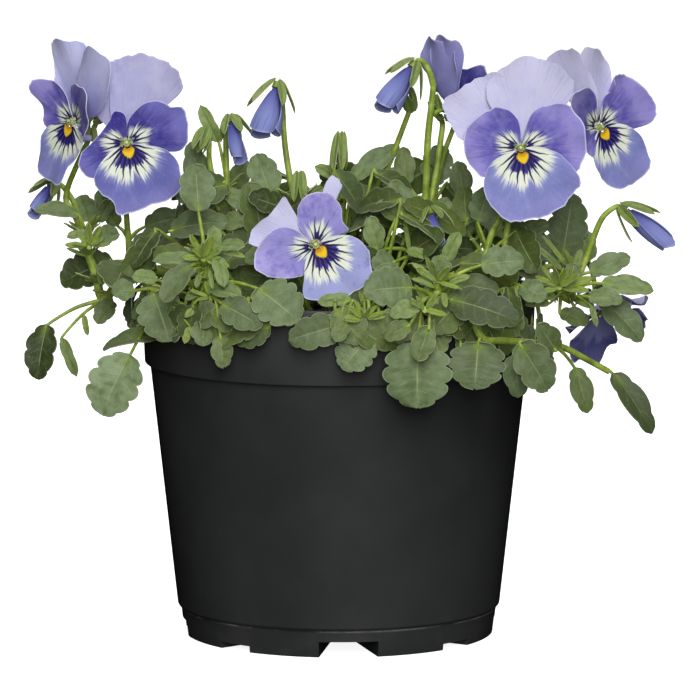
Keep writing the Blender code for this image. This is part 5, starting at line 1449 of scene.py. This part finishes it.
def along(points, share):
    """The point at this share of a line's length."""
    points = [Vector(point) for point in points]
    lengths = [(b - a).length for a, b in zip(points, points[1:])]
    left = share * sum(lengths)
    for a, b, length in zip(points, points[1:], lengths):
        if left <= length:
            return a.lerp(b, left / length)
        left -= length
    return points[-1]


def over_rim(root, base):
    """Two points where a petiole that leaves the pot passes over the rim, where it has to."""
    inside = root.xy.length
    outside = base.xy.length
    if inside > RIM_TOP_RADIUS or outside < RIM_TOP_RADIUS:
        return []
    bends = []
    for radius in (RIM_TOP_RADIUS - WALL - RIM_CLEAR, RIM_TOP_RADIUS + RIM_CLEAR):
        share = (radius - inside) / (outside - inside)
        spot = root.lerp(base, min(max(share, 0.1), 0.9))
        if spot.z < RIM_TOP + RIM_ARCH:
            bends.append(Vector((spot.x, spot.y, RIM_TOP + RIM_ARCH)))
    return bends


def station(base, tip, look, t, bend=BULGE):
    """A point on a blade's bent middle line, with the line's direction and the blade's normal."""
    bulge = base.lerp(tip, 0.5) + look * (bend * (tip - base).length)
    spot = base.lerp(bulge, t).lerp(bulge.lerp(tip, t), t)
    tangent = ((bulge - base) * (1 - t) + (tip - bulge) * t).normalized()
    return spot, tangent, square_to(look, tangent)


def blade_look(base, tip, turn, lift):
    """The way that a blade between two points looks, square to its length."""
    return square_to(facing(turn, lift), (tip - base).normalized())


def blade(bm, base, tip, width, look, fold, lobes, tint, across=LEAF_ACROSS, bulge=BULGE):
    """A leaf's blade: a notched oval sheet, bent along its middle and folded along its midrib."""
    rows = []
    count = max(lobes, 1) * ROWS_A_LOBE
    for index in range(count + 1):
        t = index / count
        spot, tangent, normal = station(base, tip, look, t, bulge)
        side = tangent.cross(normal)
        lobe = abs(math.cos(math.pi * lobes * (1 - t))) ** LOBE_ROUND if lobes else 1
        half = max(width / 2 * blade_width(t) * (1 - LOBE_DEPTH * (1 - lobe)), 0.02 * width)
        row = []
        for step in range(across + 1):
            s = 2 * step / across - 1
            away = abs(s)
            rise = fold * half * away
            rise -= GROOVE * width * blade_width(t) * math.exp(-((s / 0.16) ** 2))
            puffs = math.cos(4 * math.pi * lobes * t - 3 * away**2)
            rise += PUFF * width * math.sin(math.pi * away) * puffs
            rise += CURL * width * away**2 * math.sin(5 * t + 27 * tint[2] + 1.5 * s)
            rise += CURL * width * away**3 * (0.5 - math.cos(7 * t + 50 * tint[2]))
            row.append((spot + side * (half * s) + normal * rise, (s, t, lobes)))
        rows.append(row)
    thicken(bm, grid_sheet(bm, rows, tint, TOP_SIDE), LEAF_THICK, look, UNDER_SIDE)


def found_leaf(leaf, tree):
    """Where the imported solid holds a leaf: how far off its surface is, and the base, tip and look."""
    _, base, tip, width, turn, lift, fold = leaf
    best = None
    for shift in SHIFTS:
        for tilt in TILTS:
            near = Vector(base) + Vector((0, 0.8 * shift, 0))
            far = Vector(tip) + Vector((0, shift, 0))
            look = blade_look(near, far, turn, lift + tilt)
            off = 0
            for t in PROBES:
                spot, tangent, normal = station(near, far, look, t)
                side = tangent.cross(normal) * (0.35 * width)
                off += tree.find_nearest(spot)[3]
                if t == 0.5:
                    raised = normal * (0.35 * width * fold)
                    off += tree.find_nearest(spot + side + raised)[3]
                    off += tree.find_nearest(spot - side + raised)[3]
            if best is None or off / 5 < best[0] - 0.01:
                best = (off / 5, near, far, look)
    return best


def lobe_count(width):
    """Notches on each side of a leaf this wide."""
    for limit, lobes in LOBE_STEPS:
        if width < limit:
            return lobes
    return MOST_LOBES


def leaf_of(bm, strands, leaf, stem, tree, draw):
    """One leaf: its stalk from the stem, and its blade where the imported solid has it."""
    share, base, tip, width, turn, lift, fold, *tone = leaf
    off, near, far, look = found_leaf(leaf[:7], tree)
    if off > FOUND or width < SMALL:
        near = Vector(base)
        far = Vector(tip)
        look = blade_look(near, far, turn, lift)
    foot = along(stem, min(share, LAST_SHARE))
    way = near - foot
    way = (way - UP * (0.5 * way.z)).normalized()
    root = foot + way * ROOT_OUT
    lead = near.lerp(far, 0.12) - look * 0.1
    bends = over_rim(root, near)
    if not bends:
        bends = [root.lerp(near, 0.5) + UP * (ARCH * (near - root).length)]
    path = smooth_line([root, *bends, near, lead], 4)
    thick = min(PETIOLE_HALF, 0.16 * width)
    strands.append((path, (thick, 0.5 * thick)))
    young = min(max((YOUNG_WIDTH - width) / 5, 0), 1)
    low = min(max((LOW_FROM - far.z) / 40, 0), LOW_SHADE)
    shade = (draw.uniform(0, 0.6) + low) * (1 - 0.6 * young)
    tint = (young * draw.uniform(0.2, 0.7), tone[0] if tone else shade, draw.random())
    blade(bm, near, far, width, look, max(fold, LEAST_FOLD), lobe_count(width), tint)


def calyx(bm, name, draw):
    """The green cup and pointed sepals that hold a bloom or bud. It gives the cup's place and lead."""
    if name in BLOOMS:
        bloom = BLOOMS[name]
        _, side, axis = flower_frame(bloom)
        at = Vector(bloom["at"])
        centre = at - axis * CALYX_BACK
        tip = (SEPAL_REACH * bloom.get("scale", 1), -0.2)
        lead = [] if bloom.get("hooked") else [at + axis * LEAD[0] + side * LEAD[1]]
    else:
        bud = BUDS[name]
        centre = Vector(bud["top"])
        axis = Vector(bud["tip"]) - centre
        length = axis.length
        axis.normalize()
        side = axis.orthogonal().normalized()
        lead = []
        tip = (bud["width"] / 2, 0.95 * length)
        if bud["petals"]:
            tip = (bud["width"] / 2 + SEPAL_OUT * 0.6, 0.45 * length)
    half = axis * CALYX_HALF
    rod(bm, centre - half, centre + half, CALYX_RADII, 12, STEM)
    for index in range(SEPALS):
        angle = 2 * math.pi * (index + 0.1 * draw.uniform(-1, 1)) / SEPALS
        out = side * math.cos(angle) + axis.cross(side) * math.sin(angle)
        stretch = draw.uniform(0.85, 1.1)
        root = centre + out * 0.8 - half * 1.6
        end = centre + (out * tip[0] + axis * tip[1]) * stretch
        way = (end - root).normalized()
        look = -square_to(axis, way) if name in BLOOMS else square_to(out, way)
        tint = (*SEPAL_TINT, draw.random())
        blade(bm, root, end, SEPAL_WIDTH, look, SMALL_FOLD, 0, tint, SMALL_ACROSS, SEPAL_BEND)
    return centre, lead


def in_view_of_bloom(spot):
    """Whether a leaf here would stand in front of a bloom or among its petals."""
    for bloom in BLOOMS.values():
        look = facing(bloom["turn"], bloom["lift"])
        off = spot - Vector(bloom["at"])
        out = off.dot(look)
        if out > INNER_BEHIND and (off - look * out).length < INNER_CLEAR * bloom.get("scale", 1):
            return True
    return False


def top_at(tops, x):
    """How high the shaded leaves reach at this place across the plant."""
    for (left, low), (right, high) in zip(tops, tops[1:]):
        if x <= right:
            return low + (high - low) * max(x - left, 0) / (right - left)
    return tops[-1][1]


def inner_leaves(name, shoot):
    """Places for the shaded leaves that fill the plant round a shoot, by a rule."""
    draw = random.Random(name)
    made = []
    for _ in range(INNER_TRIES):
        share = draw.uniform(0.3, 0.95)
        swing = draw.uniform(0, 2 * math.pi)
        way = Vector((math.cos(swing), math.sin(swing), draw.uniform(-0.3, 0.5)))
        width = draw.uniform(*INNER_WIDTHS)
        base = along(shoot["stem"], share) + way * draw.uniform(5, 9)
        tip = base + (way + UP * draw.uniform(-0.5, 0.6)).normalized() * (width * INNER_LONG)
        middle = base.lerp(tip, 0.5)
        away = math.degrees(math.atan2(0.7 * middle.x, INNER_CENTRE - middle.y))
        turn = draw.uniform(-50, 50) + (away if middle.y > INNER_CENTRE else 0)
        lift = draw.uniform(10, 60)
        low = INNER_FLOOR < middle.z < top_at(INNER_TOPS, middle.x)
        low = low and INNER_FRONT < middle.y < INNER_BACK
        if low and not in_view_of_bloom(middle):
            made.append((share, base, tip, width, turn, lift))
    return made


def inner_leaf(bm, strands, leaf, stem, tree, draw):
    """A shaded leaf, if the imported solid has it."""
    share, base, tip, width, turn, lift = leaf
    look = blade_look(base, tip, turn, lift)
    foot = along(stem, min(share, LAST_SHARE))
    root = foot + (base - foot).normalized() * ROOT_OUT
    spots = [station(base, tip, look, t) for t in (0, 0.5, 1)]
    marks = [spot for spot, tangent, normal in spots] + [root.lerp(base, 0.6)]
    spot, tangent, normal = spots[1]
    side = tangent.cross(normal) * (0.4 * width)
    marks += [spot + side, spot - side]
    if max(tree.find_nearest(mark)[3] for mark in marks) > INNER_FOUND:
        return
    path = smooth_line([root, base, base.lerp(tip, 0.12) - look * 0.1], 4)
    strands.append((path, (PETIOLE_HALF, 0.5 * PETIOLE_HALF)))
    tint = (draw.uniform(0, 0.2), draw.uniform(0.6, 1.1), draw.random())
    blade(bm, base, tip, width, look, INNER_FOLD, MOST_LOBES, tint)


def tufts(bm, stem, last, draw):
    """Cut leaflets in pairs of small fans, where leaves leave a stem, up to its bare last part."""
    if last < TUFT_FIRST:
        return
    length = sum((Vector(b) - Vector(a)).length for a, b in zip(stem, stem[1:]))
    steps = max(int(length * (last - TUFT_FIRST) / TUFT_STEP), 1)
    for step in range(steps + 1):
        share = TUFT_FIRST + (last - TUFT_FIRST) * step / steps
        spot = along(stem, min(share, 0.99))
        axis = (along(stem, min(share + 0.02, 1)) - along(stem, share - 0.05)).normalized()
        turn = draw.uniform(0, math.pi)
        cross = axis.orthogonal().normalized()
        side = cross * math.cos(turn) + axis.cross(cross) * math.sin(turn)
        for sign in (-1, 1):
            fan = axis.cross(side)
            for number in range(TUFT_LEAVES):
                swing = (number / (TUFT_LEAVES - 1) - 0.5) * TUFT_SPREAD + draw.uniform(*TUFT_SWAY)
                way = side * (sign * draw.uniform(*TUFT_ASIDE)) + axis * TUFT_AHEAD + fan * swing
                way.normalize()
                reach = draw.uniform(*TUFT_LENGTHS) * (1 - TUFT_OUTER_LOSS * abs(swing))
                look = square_to(axis, way)
                root = spot + way * TUFT_ROOT
                tint = (draw.uniform(0.6, 1.0), draw.uniform(0, 0.3), draw.random())
                end = root + way * reach
                sheet = (TUFT_SLIM * reach, look, TUFT_FOLD, 0, tint, TUFT_ACROSS, TUFT_BEND)
                blade(bm, root, end, *sheet)


def rosette(bm, strands, stem, at, size, count, draw):
    """Young leaves of a growing point, in a fan that looks to the front, on a short side stem."""
    at = Vector(at)
    joints = [along(stem, 0.5 + 0.025 * step) for step in range(20)]
    joint = min(joints, key=lambda spot: (spot - at).length)
    strands.append((smooth_line([joint, joint.lerp(at, 0.5) - UP, at], 4), ROSETTE_STEM))
    for number in range(count):
        swing = math.radians(ROSETTE_FAN * ((number + draw.random()) / count - 0.5))
        way = UP * math.cos(swing) + Vector((math.sin(swing), -draw.uniform(*ROSETTE_LEAN), 0))
        way.normalize()
        length = size * draw.uniform(0.6, 1.1)
        look = square_to(Vector((draw.uniform(-0.5, 0.5), -1, 0.6)), way)
        root = at + way * 0.8
        tint = (draw.uniform(0.7, 1.1), draw.uniform(-0.2, 0.1), draw.random())
        slim = length * draw.uniform(*ROSETTE_SLIM)
        end = root + way * length
        lobes = int(length > ROSETTE_LOBED)
        blade(bm, root, end, slim, look, SMALL_FOLD, lobes, tint, SMALL_ACROSS, TUFT_BEND)


def back_shoots():
    """Shoots for the far side, which repeat the leafy form by a rule."""
    draw = random.Random(BACK_SEED)
    made = {}
    for index in range(BACK_SHOOTS):
        angle = math.radians(BACK_FIRST + BACK_STEP * index)
        out = Vector((math.cos(angle), math.sin(angle), 0))
        side = Vector((-out.y, out.x, 0))
        stem = [out * BACK_ROOT + UP * SOIL_HOLE_Z]
        stem += [out * away + side * aside + UP * high for away, aside, high in BACK_BENDS]
        stem[-1] += UP * (BACK_RISE * draw.random())
        leaves = []
        for place in range(BACK_LEAVES):
            share = 0.55 + 0.11 * place
            swing = math.radians((-1) ** place * draw.uniform(*BACK_SWING))
            way = out * math.cos(swing) + side * math.sin(swing)
            drop = draw.uniform(*BACK_DROP) + 1.5 * place
            base = along(stem, share) + way * draw.uniform(*BACK_STALK) + UP * (2 + 0.3 * drop)
            tip = base + way * draw.uniform(*BACK_LENGTHS) + UP * (drop - 7)
            turn = math.degrees(math.atan2(way.x, -way.y))
            width = draw.uniform(*BACK_WIDTHS)
            leaves.append((share, base, tip, width, turn, BACK_TILT, BACK_FOLD))
        made["shoot_back_%d" % (index + 1)] = dict(stem=stem, radii=BACK_RADII, leaves=leaves)
    return made


def solid_tree(node):
    """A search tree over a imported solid's surface, in millimetres."""
    bm = bmesh.new()
    bm.from_mesh(node.data)
    bmesh.ops.transform(bm, matrix=node.matrix_world, verts=bm.verts)
    bmesh.ops.scale(bm, vec=(1 / MM,) * 3, verts=bm.verts)
    bmesh.ops.triangulate(bm, faces=bm.faces)
    tree = BVHTree.FromBMesh(bm)
    bm.free()
    return tree


for name, shoot in (*SHOOTS.items(), *back_shoots().items()):
    draw = random.Random(name)
    tree = solid_tree(bpy.data.objects[name])
    leafy = sheet_mesh()
    strands = [(smooth_line(shoot["stem"], 5), shoot["radii"])]
    for flower, share, points in shoot.get("stalks", []):
        path = [along(shoot["stem"], share), *[Vector(point) for point in points]]
        if flower in BLOOMS or flower in BUDS:
            centre, lead = calyx(leafy, flower, draw)
            path += lead
            if (path[-1] - centre).length > CLEAR:
                path.append(centre)
        strands.append((smooth_line(path, 6), STALK_RADII))
    for leaf in shoot["leaves"]:
        leaf_of(leafy, strands, leaf, shoot["stem"], tree, draw)
    for leaf in inner_leaves(name, shoot):
        inner_leaf(leafy, strands, leaf, shoot["stem"], tree, draw)
    tufts(leafy, shoot["stem"], shoot.get("bare", 1), draw)
    for at, size, count in shoot.get("rosettes", []):
        rosette(leafy, strands, shoot["stem"], at, size, count, draw)
    add_tubes(leafy, strands, STEM)
    make_piece(name + "_grown", leafy, leafy_finishes, [name])


# Undergrowth
# The smaller, shaded leaves that fill the plant between its shoots, each on a thin stalk that rises from
# the soil. Their places follow a rule: a dome over the pot that keeps clear of the blooms, and a row that
# hangs over the rim in front.

UNDER_LEAVES = 110
UNDER_SEED = 11
UNDER_WIDTHS = (6.5, 11.0)
UNDER_LONG = 1.45
UNDER_BOX = ((-66, 78), (-20, 50))
UNDER_FLOOR = 80
UNDER_TOPS = (
    (-66, 104), (-52, 110), (-40, 124), (-28, 123), (-12, 120), (4, 125), (18, 124), (32, 119), (50, 110),
    (68, 104), (80, 96),
)
UNDER_STALK = (0.55, 0.4)
UNDER_HALF_SPAN = (74, 44)
UNDER_MIDDLE_Y = 8
UNDER_BACK_DROP = 0.55
UNDER_BACK_DEPTH = 46
UNDER_FOLD = 0.15
UNDER_ACROSS = 8
UNDER_TO_TOP = 0.7
UNDER_SWING = (-55, 55)
UNDER_AWAY_SWING = (-50, 50)
UNDER_AWAY_FROM = 10
UNDER_TILTS = (5, 60)
UNDER_ROOT = (0.45, 0.6, 74)
STALK_STEPS = 4
STALK_END = 0.1
SIDES_MEET = 4
RIM_KEEP = 9.5
RIM_LEAVES = 52
RIM_ARC = (-172, -8)
RIM_AWAY = (55.2, 56.2)
RIM_HEIGHTS = (87, 92.5)
RIM_LOW = 84.5
RIM_LOW_FROM = 8
RIM_SLOPE_FROM = 32
RIM_GAP = (-22, -3)
RIM_WIDTHS = (7.0, 10.0)
RIM_LONG = 1.2
RIM_SLOPE = 0.5
RIM_ROOT = (0.6, 88)

draw = random.Random(UNDER_SEED)
halves = {"left": (sheet_mesh(), []), "right": (sheet_mesh(), [])}


def shaded_leaf(middle, way, look, width, length, tint):
    """Lays a leaf about its middle on its side's mesh, and gives its base, tip and the side's strands."""
    leafy, strands = halves["left" if middle.x < SIDES_MEET else "right"]
    base = middle - way * (length / 2)
    tip = middle + way * (length / 2)
    blade(leafy, base, tip, width, look, UNDER_FOLD, lobe_count(width), tint, UNDER_ACROSS)
    return base, tip, strands


count = 0
while count < UNDER_LEAVES:
    x = draw.uniform(*UNDER_BOX[0])
    y = draw.uniform(*UNDER_BOX[1])
    behind = y - UNDER_MIDDLE_Y
    dome = 1 - (max(behind, 0) / UNDER_BACK_DEPTH) ** 2 * UNDER_BACK_DROP
    top = UNDER_FLOOR + (top_at(UNDER_TOPS, x) - UNDER_FLOOR) * dome
    z = UNDER_FLOOR + (top - UNDER_FLOOR) * draw.random() ** UNDER_TO_TOP
    if (x / UNDER_HALF_SPAN[0]) ** 2 + (behind / UNDER_HALF_SPAN[1]) ** 2 > 1:
        continue
    if math.hypot(x, y) > RIM_TOP_RADIUS - RIM_KEEP and z < RIM_TOP + RIM_KEEP:
        continue
    middle = Vector((x, y, z))
    if in_view_of_bloom(middle):
        continue
    count += 1
    if y > UNDER_AWAY_FROM:
        turn = math.degrees(math.atan2(x * 0.7, -(y - 6))) + draw.uniform(*UNDER_AWAY_SWING)
    else:
        turn = draw.uniform(*UNDER_SWING)
    look = facing(turn, draw.uniform(*UNDER_TILTS))
    width = draw.uniform(*UNDER_WIDTHS)
    outward = Vector((x, y - 6, 0)) / 60 + UP * draw.uniform(-0.5, 1.0)
    way = square_to(outward + Vector((draw.uniform(-1, 1), 0, 0)), look)
    tint = (draw.uniform(0, 0.25), draw.uniform(0.65, 1.15), draw.random())
    base, tip, strands = shaded_leaf(middle, way, look, width, width * UNDER_LONG, tint)
    soil_spot = Vector((x * UNDER_ROOT[0], y * UNDER_ROOT[1], UNDER_ROOT[2]))
    bend = soil_spot.lerp(base, 0.6) - way * 2 + UP * 3
    stalk = [soil_spot, bend, base, base.lerp(tip, STALK_END)]
    strands.append((smooth_line(stalk, STALK_STEPS), UNDER_STALK))

for number in range(RIM_LEAVES):
    sweep = (RIM_ARC[1] - RIM_ARC[0]) * (number + draw.random()) / RIM_LEAVES
    angle = math.radians(RIM_ARC[0] + sweep)
    out = Vector((math.cos(angle), math.sin(angle), 0))
    middle = out * draw.uniform(*RIM_AWAY) + UP * draw.uniform(*RIM_HEIGHTS)
    if RIM_GAP[0] < middle.x < RIM_GAP[1]:
        continue
    if middle.x > RIM_LOW_FROM:
        low = RIM_LOW - max(middle.x - RIM_SLOPE_FROM, 0) * RIM_SLOPE
        middle.z = draw.uniform(low, RIM_HEIGHTS[1])
    look = (out + UP * draw.uniform(0.2, 0.5)).normalized()
    along_rim = Vector((-out.y, out.x, 0)) * draw.uniform(-1, 1) - UP * draw.uniform(0.1, 0.8)
    way = square_to(along_rim, look)
    width = draw.uniform(*RIM_WIDTHS)
    tint = (draw.uniform(0, 0.25), draw.uniform(0.4, 0.9), draw.random())
    base, tip, strands = shaded_leaf(middle, way, look, width, width * RIM_LONG, tint)
    inside = Vector((base.x, base.y, 0)) * RIM_ROOT[0] + UP * RIM_ROOT[1]
    stalk = [inside, *over_rim(inside, base), base, base.lerp(tip, STALK_END)]
    strands.append((smooth_line(stalk, STALK_STEPS), UNDER_STALK))
for side, (leafy, strands) in halves.items():
    add_tubes(leafy, strands, STEM, sides=1)
    make_piece("undergrowth_" + side, leafy, leafy_finishes, [])
